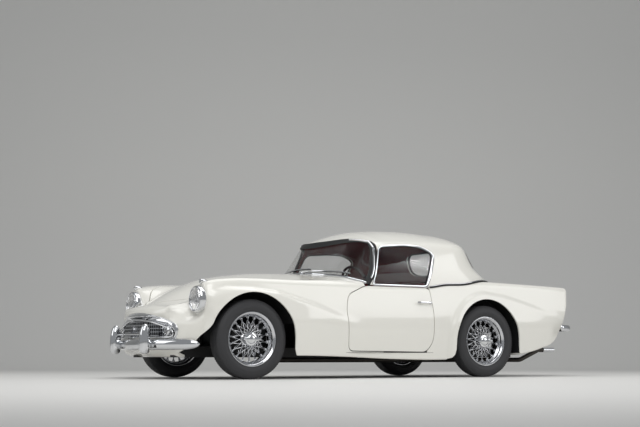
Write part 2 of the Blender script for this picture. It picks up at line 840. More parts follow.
@dataclass
class BodySkin:
    """The body's panels, cut from one smooth master so that they meet in line.

    Attributes:
        outer: The body's outer form.
        inner: The same form, smaller by the skin's thickness.
        guide: The outer form's smooth directions.
    """

    outer: Solid = field(init=False)
    inner: Solid = field(init=False)
    guide: "NormalGuide" = field(init=False)

    def __post_init__(self) -> None:
        """Builds both forms."""
        self.outer = tube_solid("body_outer", master_grid(0.0))
        self.inner = tube_solid("body_inner", master_grid(SKIN / MM))
        self.guide = NormalGuide(self.outer)
        LOG.info("body form has %d faces", len(self.outer.data.polygons))

    def cut(self, name: str, base: Solid, within: Sequence[Solid] = (),
            away: Sequence[Solid] = ()) -> Solid:
        """A piece of a form, kept within some prisms and cut away by others."""
        made = copy_of(base, name)
        for tool in within:
            boolean(made, tool, "INTERSECT")
        for tool in away:
            boolean(made, tool, "DIFFERENCE")
        return made

    def panel(self, name: str, within: Sequence[Solid] = (), away: Sequence[Solid] = ()) -> Solid:
        """A piece of the body's skin: the outer form cut by prisms, less the inner form."""
        made = self.cut(name, self.outer, within, away)
        boolean(made, self.inner, "DIFFERENCE")
        return made


class NormalGuide:
    """Smooth directions read off a master surface."""

    def __init__(self, master: Solid) -> None:
        """Reads the master's corners, faces and directions."""
        mesh = master.data
        mesh.calc_loop_triangles()
        self.corners = [v.co.copy() for v in mesh.vertices]
        self.normals = [Vector(n.vector) for n in mesh.vertex_normals]
        self.tris = [tuple(t.vertices) for t in mesh.loop_triangles]
        self.tree = BVHTree.FromPolygons(self.corners, self.tris)

    def nearest(self, point: Vector) -> tuple[Vector, float]:
        """The master's smooth direction nearest a point, and how far off it is."""
        spot, _, index, away = self.tree.find_nearest(point)
        a, b, c = (self.corners[i] for i in self.tris[index])
        na, nb, nc = (self.normals[i] for i in self.tris[index])
        area = (b - a).cross(c - a).length or 1e-12
        u = (b - spot).cross(c - spot).length / area
        v = (c - spot).cross(a - spot).length / area
        w = max(0.0, 1 - u - v)
        return (na * u + nb * v + nc * w).normalized(), away

    def dress(self, obj: Solid, outside: Finish, inside: Finish, reach: float = 0.004) -> None:
        """Gives outside faces the master's directions and finish, the rest the other finish.

        Args:
            obj: A panel cut from the master.
            outside: Finish of the faces that lie on the master, and of their edges.
            inside: Finish of the faces behind.
            reach: How far from the master still counts as on it.
        """
        mesh = obj.data
        mesh.materials.clear()
        mesh.materials.append(outside.build())
        mesh.materials.append(inside.build())
        mesh.shade_smooth()
        mesh.set_sharp_from_angle(angle=math.radians(32))
        normals = [Vector((0, 0, 0))] * len(mesh.loops)
        for face in mesh.polygons:
            direction, away = self.nearest(face.center)
            on_skin = away < reach and direction.dot(face.normal) > 0.5
            near_edge = away < SKIN * 1.05 and abs(direction.dot(face.normal)) < 0.6
            face.material_index = 0 if (on_skin or near_edge) else 1
            if on_skin:
                for loop in face.loop_indices:
                    spot = mesh.vertices[mesh.loops[loop].vertex_index].co
                    smooth, far = self.nearest(spot)
                    if far < reach and smooth.dot(face.normal) > 0.5:
                        normals[loop] = smooth
        mesh.normals_split_custom_set(normals)


# ---------------------------------------------------------------- outlines shared with the frame
def mm_line(points: Outline) -> list[Flat]:
    """Points of x from the front axle and a second value, millimetres to the frame's metres."""
    return [(FRONT_X + a * MM, b * MM) for a, b in points]


DOOR_LINE = mm_line([(1082, 748), (905, 672), (874, 560), (894, 222), (1677, 214), (1739, 300),
    (1745, 478), (1725, 748)])
WINDOW_LINE = mm_line([(1152, 735), (1274, 1088), (1540, 1112), (1700, 1104), (1824, 1046), (1690, 735)])
DOOR_PANE_FOOT = 0.752
BELT_Z = 0.748
SPLIT_X = FRONT_X - 0.39
ARCH_RADIUS = 0.361
HOUSE_RADIUS = 0.4
SHUT_Y = 0.52
BOOT_HALF = 0.44
SILL_TOP = 0.208
INNER_FINISH = {"bonnet": PAINT, "boot_lid": PAINT, "door_right": RED_LINING}


def leaning_prism(name: str, points: Outline, low: float, high: float, lean: float) -> Solid:
    """A plan outline run upwards, leaning forward by lean for each unit of height."""
    shift = -lean * (high - low)
    verts = [(x, y, low) for x, y in points] + [(x + shift, y, high) for x, y in points]
    return new_object(name, verts, run_faces(len(points)), Shading.FLAT)


def bonnet_outline(gap: float) -> list[Flat]:
    """The bonnet's plan outline at the foot of its cut, grown by gap."""
    half = smooth_path([(-574, 0, 0), (-560, 26, 0), (-532, 75, 0), (-478, 172, 0), (-412, 290, 0),
        (-340, 400, 0), (-250, 480, 0), (-150, 514, 0), (-60, 520, 0)], 8)
    half = [(x, y) for x, y, _ in half] + [(300, 520), (700, 520)]
    points = half + [(756, 0)] + [(x, -y) for x, y in reversed(half[1:])]
    points = [(FRONT_X + (x + 0.21 * 100) * MM, y * MM) for x, y in points]
    return grown(points, gap) if gap else points


def boot_outline(gap: float) -> list[Flat]:
    """The boot lid's plan outline, grown by gap."""
    front, back = REAR_X + 0.392, REAR_X + 0.85
    corners = [(front, -BOOT_HALF), (front, BOOT_HALF), (back, BOOT_HALF - 0.03), (back, -BOOT_HALF + 0.03)]
    points = rounded(corners, 0.075, 8)
    return grown(points, gap) if gap else points


def cockpit_outline() -> list[Flat]:
    """The cockpit opening's plan outline."""
    side, front, radius, back = 0.6, FRONT_X + 0.9, 0.72, REAR_X - 0.06
    spread = math.asin(side / radius)
    turns = [spread - 2 * spread * k / 24 for k in range(25)]
    arc = [(front + radius - radius * math.cos(t), radius * math.sin(t)) for t in turns]
    return arc + [(back, -side), (back, side)]


def screen_x(y: float, z: float, depth: float = 0.0) -> float:
    """How far back the windscreen's curved face is at a place; depth counts into the cabin."""
    return FRONT_X + 0.7606 + 0.72 * (z - 0.76) + 0.29 * (abs(y) / 0.6) ** 2.8 + depth


def screen_solid(name: str, depth: float) -> Solid:
    """Everything behind the windscreen's face, set back by depth."""
    half = 0.72
    across = list(np.linspace(half, -half, 73))
    rings = []
    for z in (0.5, 1.5):
        rings += [(screen_x(y, z, depth), y, z) for y in across] + [(2.2, -half, z), (2.2, half, z)]
    return new_object(name, rings, run_faces(len(across) + 2), Shading.FLAT)


def mouth_top(y: float) -> float:
    """The intake's arched top edge at a place across."""
    return 0.459 - 0.087 * (abs(y) / 0.47) ** 2


def mouth_outline(gap: float) -> list[Flat]:
    """The intake's outline across and up: an arch over a flat foot, grown by gap."""
    right = [(y, mouth_top(y)) for y in np.linspace(0.0, 0.436, 26)]
    right += [(0.455, 0.374), (0.467, 0.361), (0.471, 0.346), (0.465, 0.332), (0.451, 0.324), (0.431, 0.321)]
    points = right + [(-y, z) for y, z in reversed(right[1:])]
    return grown(points, gap) if gap else points


def build_body(skin: BodySkin) -> dict[str, Solid]:
    """Cuts every outer panel from the master.

    Args:
        skin: The body's two forms.

    Returns:
        The panels by CAD node name, right-hand pieces mirrored to the left.
    """
    wide = 1.3
    full = 0.95
    pieces: dict[str, Solid] = {}
    door_outline = rounded(DOOR_LINE, 0.045, 8)
    door = prism("t_door", door_outline, 0.622, full, "XZ")
    core = prism("t_core", grown(door_outline, -0.014), 0.622, full, "XZ")
    hole = prism("t_hole", grown(door_outline, PANEL_GAP), 0.6, full, "XZ")
    above = block("t_above", (FRONT_X + 1.078, 0.6, BELT_Z - 0.03), (REAR_X - 0.606, full, 1.0), 0)
    below_belt = block("t_belt", (-2.3, 0, 0), (2.3, full, BELT_Z), 0)
    cockpit = prism("t_cockpit", cockpit_outline(), 0.6, 1.1, "XY")
    bonnet_gap = leaning_prism("t_bonnet_gap", bonnet_outline(PANEL_GAP), 0.5, 1.0, 0.21)
    bonnet = leaning_prism("t_bonnet", bonnet_outline(0), 0.5, 1.0, 0.21)
    boot_gap = prism("t_boot_gap", boot_outline(PANEL_GAP), 0.62, 1.0, "XY")
    boot = prism("t_boot", boot_outline(0), 0.62, 1.0, "XY")
    z = WHEEL_Z
    front_arch = prism("t_arch_f", disc_outline(FRONT_X, z, ARCH_RADIUS, 128), 0.56, full, "XZ")
    lower = mm_line([(-341, 424), (-400, 334), (-445, 270), (-500, 218), (-560, 176), (-590, 120), (450, 120),
        (440, 146), (402, 160),
                     (374, 188), (362, 232), (361, 307), (341, 424)])
    front_lower = prism("t_arch_fl", lower, 0.56, full, "XZ")
    rear_arch = prism("t_arch_r", disc_outline(REAR_X, z, ARCH_RADIUS, 128), 0.56, full, "XZ")
    foot = [(-0.341, 0.424), (-0.361, 0.307), (-0.362, 0.232), (-0.374, 0.192), (-0.402, 0.166),
        (-0.44, 0.152), (-0.45, 0.12),
            (0.4, 0.12), (0.39, 0.18), (0.368, 0.215), (0.361, 0.307), (0.341, 0.424)]
    rear_lower = prism("t_arch_rl", [(REAR_X + a, c) for a, c in foot], 0.56, full, "XZ")

    skin_part = skin.panel("door_skin", [door, below_belt])
    core_part = skin.cut("door_core", skin.inner, [core, below_belt])
    boolean(skin_part, core_part, "UNION")
    pieces["door_right"] = skin_part
    discard(core_part)

    front_box = block("t_front", (SPLIT_X, SHUT_Y, 0), (FRONT_X + 1.24, full, wide), 0)
    corner = block("t_corner", (SPLIT_X, 0.25, 0.5), (FRONT_X + 0.05, SHUT_Y + 0.01, wide), 0)
    boolean(front_box, corner, "UNION")
    under_front = block("t_uf", (FRONT_X + 0.874 - PANEL_GAP, 0, 0), (FRONT_X + 1.3, full, SILL_TOP), 0)
    wing = skin.panel("front_wing", [front_box],
        [bonnet_gap, front_arch, front_lower, hole, above, cockpit, under_front])
    pieces["front_wing_right"] = wing
    rear_box = block("t_rear", (REAR_X - 0.652, BOOT_HALF, 0), (2.3, full, wide), 0)
    under_rear = block("t_ur", (0, 0, 0), (REAR_X - 0.592 + PANEL_GAP, full, SILL_TOP), 0)
    pieces["rear_wing_right"] = skin.panel(
        "rear_wing", [rear_box], [boot_gap, rear_arch, rear_lower, hole, above, cockpit, under_rear])
    for name, axle, low_y in (("front", FRONT_X, 0.388), ("rear", REAR_X, 0.5)):
        house = prism(f"t_house_{name}", disc_outline(axle, z, HOUSE_RADIUS - 0.001), low_y, full, "XZ")
        hollow = prism(f"t_hollow_{name}", disc_outline(axle, z, HOUSE_RADIUS - 0.008),
            low_y + 0.008, full, "XZ")
        over = block("t_over", (axle - 0.5, 0, 0.43), (axle + 0.5, full, 0.9), 0)
        if name == "rear":
            behind_wheel = block("t_behind_wheel", (axle + 0.2, 0, 0.19), (axle + 0.51, full, 0.5), 0)
            boolean(over, behind_wheel, "UNION")
        boolean(house, hollow, "DIFFERENCE")
        boolean(house, over, "INTERSECT")
        boolean(house, skin.inner, "INTERSECT")
        boolean(pieces[f"{name}_wing_right"], house, "UNION")
        discard(house, hollow, over)
    for name, low_x, high_x, low_y, top in (
            ("front_wing_right", FRONT_X + 0.814, FRONT_X + 0.86, 0.585, 0.64),
            ("rear_wing_right", REAR_X - 0.576, REAR_X - 0.562, 0.572, 0.735)):
        wall = block("t_wall", (low_x, low_y, 0.256), (high_x, full, top), 0)
        boolean(wall, skin.inner, "INTERSECT")
        boolean(pieces[name], wall, "UNION")
        discard(wall)

    middle = block("t_mid", (FRONT_X + 0.675, -SHUT_Y, 0.4), (FRONT_X + 1.24, SHUT_Y, wide), 0)
    pieces["scuttle"] = skin.panel("scuttle_m", [middle], [cockpit, bonnet_gap])
    nose_box = block("t_nose", (-2.3, -full, 0), (SPLIT_X, full, wide), 0)
    nose = skin.panel("nose", [nose_box], [bonnet_gap])
    slot = prism("t_slot", mouth_outline(0.003), FRONT_X - 0.9, FRONT_X - 0.47, "YZ")
    boolean(nose, slot, "DIFFERENCE")
    for low_y, high_y in ((0.46, full), (-full, -0.46)):
        side = prism("t_nose_low", lower, low_y, high_y, "XZ")
        boolean(nose, side, "DIFFERENCE")
    pieces["nose_panel"] = nose
    strip = block("t_strip", (REAR_X - 0.16, -BOOT_HALF, 0), (2.3, BOOT_HALF, wide), 0)
    seam = REAR_X + 0.65
    ahead = block("t_ahead", (0, -full, 0), (seam, full, wide), 0)
    behind = block("t_behind", (seam, -full, 0), (2.3, full, wide), 0)
    pieces["rear_deck"] = skin.panel("deck", [strip, ahead], [cockpit, boot_gap])
    pieces["tail_panel"] = skin.panel("tail", [strip, behind], [boot_gap])
    pieces["bonnet"] = skin.panel("bonnet_m", [bonnet])
    pieces["boot_lid"] = skin.panel("boot_m", [boot])
    low_x, high_x = FRONT_X + 0.874 - PANEL_GAP, REAR_X - 0.592 + PANEL_GAP
    sill_box = block("t_sill", (low_x, 0.5, 0), (high_x, full, 0.206), 0)
    sill = skin.panel("sill", [sill_box])
    tray = block("t_tray", (low_x, 0.585, 0.176), (high_x, full, 0.206), 0)
    boolean(tray, skin.inner, "INTERSECT")
    boolean(sill, tray, "UNION")
    pieces["sill_right"] = sill
    for tool in [o for o in bpy.data.objects if o.name.startswith("t_")]:
        discard(tool)

    for name, obj in list(pieces.items()):
        obj.name = f"skin_{name}"
        skin.guide.dress(obj, PAINT, INNER_FINISH.get(name, UNDERBODY))
    for name in ("door", "front_wing", "rear_wing", "sill"):
        pieces[f"{name}_left"] = mirrored_panel(pieces[f"{name}_right"], f"skin_{name}_left")
    LOG.info("body panels: %d", len(pieces))
    return pieces


def mirrored_panel(obj: Solid, name: str) -> Solid:
    """A panel on the other side, with its smooth directions mirrored too."""
    source = obj.data
    verts = [(v.co.x, -v.co.y, v.co.z) for v in source.vertices]
    faces, normals = [], []
    corner = [Vector(n.vector) for n in source.corner_normals]
    for face in source.polygons:
        loops = list(face.loop_indices)[::-1]
        faces.append([source.loops[i].vertex_index for i in loops])
        normals += [Vector((corner[i].x, -corner[i].y, corner[i].z)) for i in loops]
    mesh = bpy.data.meshes.new(name)
    mesh.from_pydata(verts, [], faces)
    for material in source.materials:
        mesh.materials.append(material)
    mesh.polygons.foreach_set("material_index", [f.material_index for f in source.polygons])
    mesh.shade_smooth()
    mesh.normals_split_custom_set(normals)
    return placed(name, mesh)


# ---------------------------------------------------------------- hardtop
ROOF_LEVELS = [  # height, half width, where the back reaches and its squareness; from the seal to the rail
    (0.82, 0.664, 2.64, 3.0),
    (0.88, 0.652, 2.548, 3.0),
    (0.91, 0.645, 2.492, 3.0),
    (0.95, 0.632, 2.446, 3.0),
    (1.01, 0.612, 2.404, 3.1),
    (1.07, 0.59, 2.374, 3.2),
    (1.11, 0.572, 2.352, 3.3),
]
RAIL = (1.138, 0.548, 2.33, 3.4)
CROWN_LINE = [(0.8, 1.05), (0.98, 1.117), (1.06, 1.154), (1.12, 1.184), (1.2, 1.217), (1.3, 1.243),
    (1.5, 1.268), (1.7, 1.276), (1.85, 1.275), (2.05, 1.26), (2.2, 1.234)]
WIDTH_LINE = [(0.6, 0.935), (1.04, 0.972), (1.31, 0.99), (1.7, 1.0), (2.7, 1.0)]
RAIL_DROP = [(0.6, 0.058), (1.04, 0.03), (1.31, 0.013), (1.6, 0.004), (1.8, 0.0), (2.7, 0.0)]


def rear_window_line() -> list[Flat]:
    """The rear window's outline, across and up."""
    return rounded([(-0.452, 0.918), (0.452, 0.918), (0.405, 1.128), (-0.405, 1.128)], 0.085, 12)


def roof_grid(inset: float) -> np.ndarray:
    """The hardtop's outer form: rows from the seal up to the crown, columns from front to back and round."""
    start, straight = 0.72, 1.93
    side = list(np.linspace(start, straight, 44, endpoint=False))
    turns = np.linspace(0, math.pi / 2, 40)
    rows = []
    levels = list(ROOF_LEVELS) + [RAIL]
    heights = [v[0] for v in levels]
    fine = np.concatenate([np.linspace(0.74, 0.86, 5)[:-1], np.linspace(0.86, heights[-1], 26)])
    table = np.array(levels)
    for level in fine:
        _, width, back, square = (np.interp(level, heights, table[:, i]) for i in range(4))
        ring = []
        for x in side:
            drop = np.interp(x, *zip(*RAIL_DROP)) * max(0.0, (level - 0.86) / 0.28)
            ring.append((x, (width - inset) * np.interp(x, *zip(*WIDTH_LINE)), level - drop))
        for t in turns:
            c, s = math.cos(t), math.sin(t)
            ring.append((straight + (back - inset - straight) * s ** (2 / square),
                (width - inset) * abs(c) ** (2 / square), level))
        rows.append(ring)
    top = np.array(rows[-1])
    for share in (0.985, 0.96, 0.92, 0.86, 0.78, 0.68, 0.56, 0.43, 0.3, 0.16, 0.0):
        ring = []
        for x, y, z in top:
            limit = 2.06
            cx = x if x < 1.9 else 1.9 + (limit - 1.9) * (1 - math.exp(-(x - 1.9) / (limit - 1.9)))
            crown = np.interp(cx, *zip(*CROWN_LINE)) - inset
            base = z - inset * (1 - share ** 2)
            rise = (1 - share ** 2.3)
            ring.append((cx + (x - cx) * share, y * share, base + (crown - base) * rise if share else crown))
        rows.append(ring)
    grid = np.array(rows)
    for _ in range(3):
        grid[1:-1] = 0.25 * grid[:-2] + 0.5 * grid[1:-1] + 0.25 * grid[2:]
        grid[-1, :, 1] = 0.0
    left = grid[:, -2::-1] * np.array([1, -1, 1])
    grid = np.concatenate([grid, left], axis=1)
    grid[:, :, 0] += FRONT_X
    return grid


def roof_solid(name: str, inset: float) -> Solid:
    """The hardtop's form as a closed solid."""
    grid = roof_grid(inset)
    rows, columns = grid.shape[:2]
    verts = [tuple(p) for p in grid.reshape(-1, 3)]
    faces = grid_faces(rows, columns)
    front = [i * columns for i in range(rows)] + [i * columns + columns - 1 for i in range(rows - 1, -1, -1)]
    faces.append(front)
    faces.append(list(range(columns)))
    obj = new_object(name, verts, faces, Shading.SOFT)
    with edited(obj) as bm:
        bmesh.ops.remove_doubles(bm, verts=bm.verts, dist=1e-5)
        bmesh.ops.holes_fill(bm, edges=[e for e in bm.edges if e.is_boundary], sides=0)
        bmesh.ops.recalc_face_normals(bm, faces=bm.faces)
    shade(obj, Shading.SOFT)
    return obj


def build_hardtop(skin: BodySkin) -> dict[str, Solid]:
    """The hardtop with its glass, and the windscreen in its rubber.

    Args:
        skin: The body, whose top the hardtop stands on.

    Returns:
        The pieces by CAD node name.
    """
    outer = roof_solid("roof_outer", 0.0)
    inner = roof_solid("roof_inner", 0.016)
    guide = NormalGuide(outer)
    lining = NormalGuide(inner)
    inner.data.transform(Matrix.Translation((0, 0, -0.0002)))
    lower = copy_of(inner, "roof_lower")
    lower.data.transform(Matrix.Translation((0, 0, -0.06)))
    behind = screen_solid("s_behind", 0.014)
    window = prism("s_window", rounded(WINDOW_LINE, 0.055, 10), -0.9, 0.9, "XZ")
    back = prism("s_back", rear_window_line(), REAR_X - 0.1, REAR_X + 0.7, "YZ")
    doors = block("s_doors", (FRONT_X + 1.06, -0.9, 0.7), (REAR_X - 0.605, 0.9, 0.756), 0)
    top = copy_of(outer, "hardtop_mesh")
    for tool in (inner, lower, skin.outer, window, back, doors):
        boolean(top, tool, "DIFFERENCE")
    boolean(top, behind, "INTERSECT")
    made = largest_island(top)
    dress_roof(made, guide, lining)
    pieces = {"hardtop": made}
    near = roof_solid("s_near", 0.005)
    far = roof_solid("s_far", 0.0095)
    pane = copy_of(near, "pane")
    boolean(pane, far, "DIFFERENCE")
    pieces["rear_window"] = skin.cut("rear_glass", pane, [back])
    hole = prism("s_pane", grown(rounded(WINDOW_LINE, 0.055, 10), -0.007), 0.3, 0.9, "XZ")
    above = block("s_above", (-0.9, 0.3, DOOR_PANE_FOOT), (0.9, 0.9, 1.3), 0)
    pieces["door_glass_right"] = skin.cut("door_glass_r", pane, [hole, above])
    pieces["door_glass_left"] = mirrored(pieces["door_glass_right"], "door_glass_l")
    raised = copy_of(skin.outer, "s_raised")
    raised.data.transform(Matrix.Translation((0, 0, 0.018)))
    front, front_back = screen_solid("s_front", -0.006), screen_solid("s_front_back", 0.012)
    slab = skin.cut("slab", front, [outer], [front_back, skin.outer, doors])
    frame = skin.cut("screen_rubber", slab, [], [roof_solid("s_edge", 0.026), raised])
    foot = skin.cut("screen_foot", slab, [raised])
    boolean(frame, foot, "UNION")
    pieces["windscreen_frame"] = coated(frame, SEAL_RUBBER)
    face, face_back = screen_solid("s_face", 0.001), screen_solid("s_face_back", 0.006)
    edge = roof_solid("s_edge_glass", 0.025)
    raised.data.transform(Matrix.Translation((0, 0, -0.002)))
    pieces["windscreen"] = skin.cut("screen_glass", face, [edge], [face_back, raised])
    for name in ("rear_window", "door_glass_right", "door_glass_left", "windscreen"):
        coated(pieces[name], CLEAR_GLASS)
        pieces[name].data.shade_smooth()
        pieces[name].data.set_sharp_from_angle(angle=math.radians(40))
    discard(outer, inner, lower, foot, slab, pane, *[o for o in bpy.data.objects if o.name.startswith("s_")])
    return pieces


def largest_island(obj: Solid) -> Solid:
    """The object with only its biggest connected piece left."""
    with edited(obj) as bm:
        left = set(bm.verts)
        best: list[bmesh.types.BMVert] = []
        while left:
            start = left.pop()
            group, stack = [start], [start]
            while stack:
                near = {vert for edge in stack.pop().link_edges for vert in edge.verts} & left
                left -= near
                group += near
                stack += near
            best = max(best, group, key=len)
        keep = set(best)
        bmesh.ops.delete(bm, geom=[v for v in bm.verts if v not in keep], context="VERTS")
    return obj


def dress_roof(obj: Solid, outside: NormalGuide, inside: NormalGuide) -> None:
    """Paints the hardtop's outside, lines its inside and smooths both."""
    outside.dress(obj, PAINT, RED_LINING)
    mesh = obj.data
    normals = [Vector(n.vector) for n in mesh.corner_normals]
    for face in mesh.polygons:
        direction, away = inside.nearest(face.center)
        if face.material_index == 1 and away < 0.002 and abs(direction.dot(face.normal)) > 0.75:
            sign = 1 if direction.dot(face.normal) > 0 else -1
            for loop in face.loop_indices:
                spot = mesh.vertices[mesh.loops[loop].vertex_index].co
                normals[loop] = inside.nearest(spot)[0] * sign
    mesh.normals_split_custom_set(normals)


# ---------------------------------------------------------------- repeated parts by geometry nodes
class Repeat(Enum):
    """How geometry nodes lay out copies of a mesh."""

    RING = "ring"
    ROW = "row"


def repeat_tree(kind: Repeat, finish: Finish) -> bpy.types.NodeTree:
    """A node group that copies its mesh round the Y axis or along a step.

    Args:
        kind: Round an axis or along a line.
        finish: The material it sets.

    Returns:
        A group with the inputs Geometry, Count, Phase and Step.
    """
    tree = bpy.data.node_groups.new(f"{kind.value}_{finish.name}", "GeometryNodeTree")
    for name, sort in (("Geometry", "Geometry"), ("Count", "Int"), ("Phase", "Float"), ("Step", "Vector")):
        tree.interface.new_socket(name, in_out="INPUT", socket_type=f"NodeSocket{sort}")
    tree.interface.new_socket("Geometry", in_out="OUTPUT", socket_type="NodeSocketGeometry")
    entry = add_node(tree, "NodeGroupInput", {}).outputs
    points = add_node(tree, "GeometryNodePoints", {"Count": entry["Count"]}).outputs["Points"]
    index = add_node(tree, "GeometryNodeInputIndex", {}).outputs["Index"]
    shifted = add_node(tree, "ShaderNodeMath", {0: index, 1: entry["Phase"]}, "ADD").outputs[0]
    lump = add_node(tree, "GeometryNodeGeometryToInstance",
        {"Geometry": entry["Geometry"]}).outputs["Instances"]
    if kind is Repeat.RING:
        share = add_node(tree, "ShaderNodeMath", {0: 2 * math.pi, 1: entry["Count"]}, "DIVIDE").outputs[0]
        angle = add_node(tree, "ShaderNodeMath", {0: share, 1: shifted}, "MULTIPLY").outputs[0]
        spin = add_node(tree, "ShaderNodeCombineXYZ", {"Y": angle}).outputs[0]
        places = {"Points": points, "Instance": lump, "Rotation": spin}
    else:
        move = add_node(tree, "ShaderNodeVectorMath", {0: entry["Step"], "Scale": shifted},
            "SCALE").outputs["Vector"]
        row = add_node(tree, "GeometryNodeSetPosition",
            {"Geometry": points, "Offset": move}).outputs["Geometry"]
        places = {"Points": row, "Instance": lump}
    copies = add_node(tree, "GeometryNodeInstanceOnPoints", places).outputs["Instances"]
    real = add_node(tree, "GeometryNodeRealizeInstances", {"Geometry": copies}).outputs["Geometry"]
    coat = add_node(tree, "GeometryNodeSetMaterial", {"Geometry": real, "Material": finish.build()})
    add_node(tree, "NodeGroupOutput", {"Geometry": coat.outputs["Geometry"]})
    return tree


def repeated(obj: Solid, kind: Repeat, finish: Finish, count: int, phase: float = 0.0,
             step: Point = (0, 0, 0)) -> Solid:
    """Replaces a mesh with copies of itself, baked from geometry nodes."""
    name = f"{kind.value}_{finish.name}"
    tree = bpy.data.node_groups.get(name) or repeat_tree(kind, finish)
    work = obj.modifiers.new("repeat", "NODES")
    work.node_group = tree
    sockets = {s.name: s.identifier for s in tree.interface.items_tree if s.in_out == "INPUT"}
    work[sockets["Count"]] = count
    work[sockets["Phase"]] = float(phase)
    work[sockets["Step"]] = step
    obj.update_tag()
    graph = bpy.context.evaluated_depsgraph_get()
    made = bpy.data.meshes.new_from_object(obj.evaluated_get(graph))
    obj.modifiers.remove(work)
    obj.data = made
    return obj


# ---------------------------------------------------------------- wheels
@dataclass
class WireWheel:
    """A tyre on a wire wheel, made round the Y axis with +Y outwards.

    Attributes:
        radius: The tyre's outside.
        width: The tyre's width.
        rim: The rim flange's radius.
        spokes: Spokes in each of the four crossed sets.
    """

    radius: float = 0.307
    width: float = 0.155
    rim: float = 0.21
    spokes: int = 18

    def tyre(self) -> Solid:
        """The tyre: a rounded carcass with ribs and grooves cut in its tread."""
        half = self.width / 2 / MM
        side = [(192.5, -52), (205, -57.5), (213.5, -60), (216.5, -65.5), (228, -72.5), (243, -76.8),
            (246.5, -77.1),
                (247.8, 0.2 - half), (252, 0.2 - half), (253.2, -77), (262, -76.2), (274, -73.5), (284, -69),
                (291.5, -63.2),
                (296.5, -58.5)]
        tread = [(300.5, -55), (303, -52)]
        for y in (-34.5, -17.5, 0, 17.5, 34.5):
            crown = 307 - 3.2 * (y / 55) ** 2
            tread += [(crown, y - 2.8), (crown - 7, y - 2), (crown - 7, y + 2), (crown, y + 2.8)]
        tread += [(303, 52), (300.5, 55)]
        profile = side + tread + [(r, -y) for r, y in reversed(side)]
        carcass = Turned("tyre_carcass", profile, TYRE_RUBBER, 128, "Y").at(ORIGIN)
        pieces = [carcass]
        for number, y in enumerate((-0.0435, -0.026, -0.0088, 0.0088, 0.026, 0.0435)):
            crown = 0.307 - 0.0032 * (y / 0.055) ** 2
            lug = block("lug", (-0.0058, y - 0.0062, crown - 0.004), (0.0058, y + 0.0062, crown), 0)
            for vert in lug.data.vertices:
                vert.co.x += (vert.co.y - y) * (0.45 if number % 2 else -0.45)
            pieces.append(repeated(lug, Repeat.RING, TYRE_RUBBER, 96, 0.5 * (number % 2)))
        for sign in (-1, 1):
            rib = block("rib", (-0.0056, -0.0024, 0.276), (0.0056, 0.0024, 0.302), 0)
            tilt = Matrix.Rotation(sign * math.radians(28), 4, "X")
            seat = Matrix.Translation((0, sign * 0.0612, 0.293)) @ tilt @ Matrix.Translation((0, 0, -0.293))
            rib.data.transform(seat)
            pieces.append(repeated(rib, Repeat.RING, TYRE_RUBBER, 96, 0.25))
        return joined("tyre", pieces)

    def rim_ring(self) -> Solid:
        """The rolled rim with its drop centre."""
        rim, f = self.rim / MM, 61.5
        outer = [(rim, -f), (rim, 3 - f), (198.5, 5.5 - f), (192.5, -50), (191.5, -34), (178, -20),
                 (178, 14), (191.5, 34), (192.5, 50), (198.5, f - 5.5), (rim, f - 3), (rim, f)]
        inner = [(r - 3.2, y * (0.965 if abs(y) < 55 else 1)) for r, y in reversed(outer[2:-2])]
        profile = outer + [(rim - 4, f + 0.3)] + inner + [(rim - 4, -f - 0.3)]
        return Turned("rim", profile, SPOKE_CHROME, 120, "Y").at(ORIGIN)

    def hub(self) -> Solid:
        """The hub shell, its spinner and the ears."""
        shell = [(0, -50), (44, -50), (46, -46), (46, -36), (37, -30), (33, 0), (37, 26), (50, 32), (52, 36),
            (50, 43), (40, 46), (0, 48)]
        nut = [(0, 46), (36, 46), (37, 52), (33, 58), (24, 62.5), (12, 65.2), (0, 65.8)]
        turned = (Turned("hub_shell", shell, CHROME, 48, "Y"), Turned("spinner", nut, CHROME, 48, "Y"))
        pieces = [p.at(ORIGIN) for p in turned]
        ear_path = [(0.018, 0.0555), (0.04, 0.057), (0.058, 0.0605), (0.076, 0.0645)]
        widths = (0.016, 0.0145, 0.011, 0.0065)
        thick = (0.006, 0.006, 0.0045, 0.0028)
        rings = []
        for (x, y), w, t in zip(ear_path, widths, thick):
            section = rounded([(-w, -t / 2), (w, -t / 2), (w, t / 2), (-w, t / 2)], t * 0.45, 3)
            rings.append([(x, y + b, a) for a, b in section])
        ear = tube_solid("ear", np.array(rings), Shading.ROUND)
        pieces.append(repeated(ear, Repeat.RING, CHROME, 2, 0.0))
        return joined("hub", pieces)

    def spoke_set(self) -> Solid:
        """Four crossed sets of laced spokes with their nipples."""
        pieces = []
        lay = ((0.0495, 0.038, 0.1765, -0.004, 1), (0.0495, 0.038, 0.1765, -0.004, -1),
               (0.045, -0.041, 0.1765, 0.01, 1), (0.045, -0.041, 0.1765, 0.01, -1))
        for number, (hub_r, hub_y, rim_r, rim_y, sign) in enumerate(lay):
            lead = math.radians(46 if number < 2 else 34) * sign
            start = Vector((0, hub_y, hub_r))
            end = Vector((rim_r * math.sin(lead), rim_y, rim_r * math.cos(lead)))
            spoke = sweep("spoke", [tuple(start), tuple(end)], circle_section(0.0027, 6), up=(0, 1, 0.01))
            nipple = sweep("nipple", [tuple(end.lerp(start, 0.1)), tuple(end)], circle_section(0.0038, 6),
                up=(0, 1, 0.01))
            pair = joined("laced", [spoke, nipple])
            pieces.append(repeated(pair, Repeat.RING, SPOKE_CHROME, self.spokes, 0.25 * number))
        return joined("spokes", pieces)

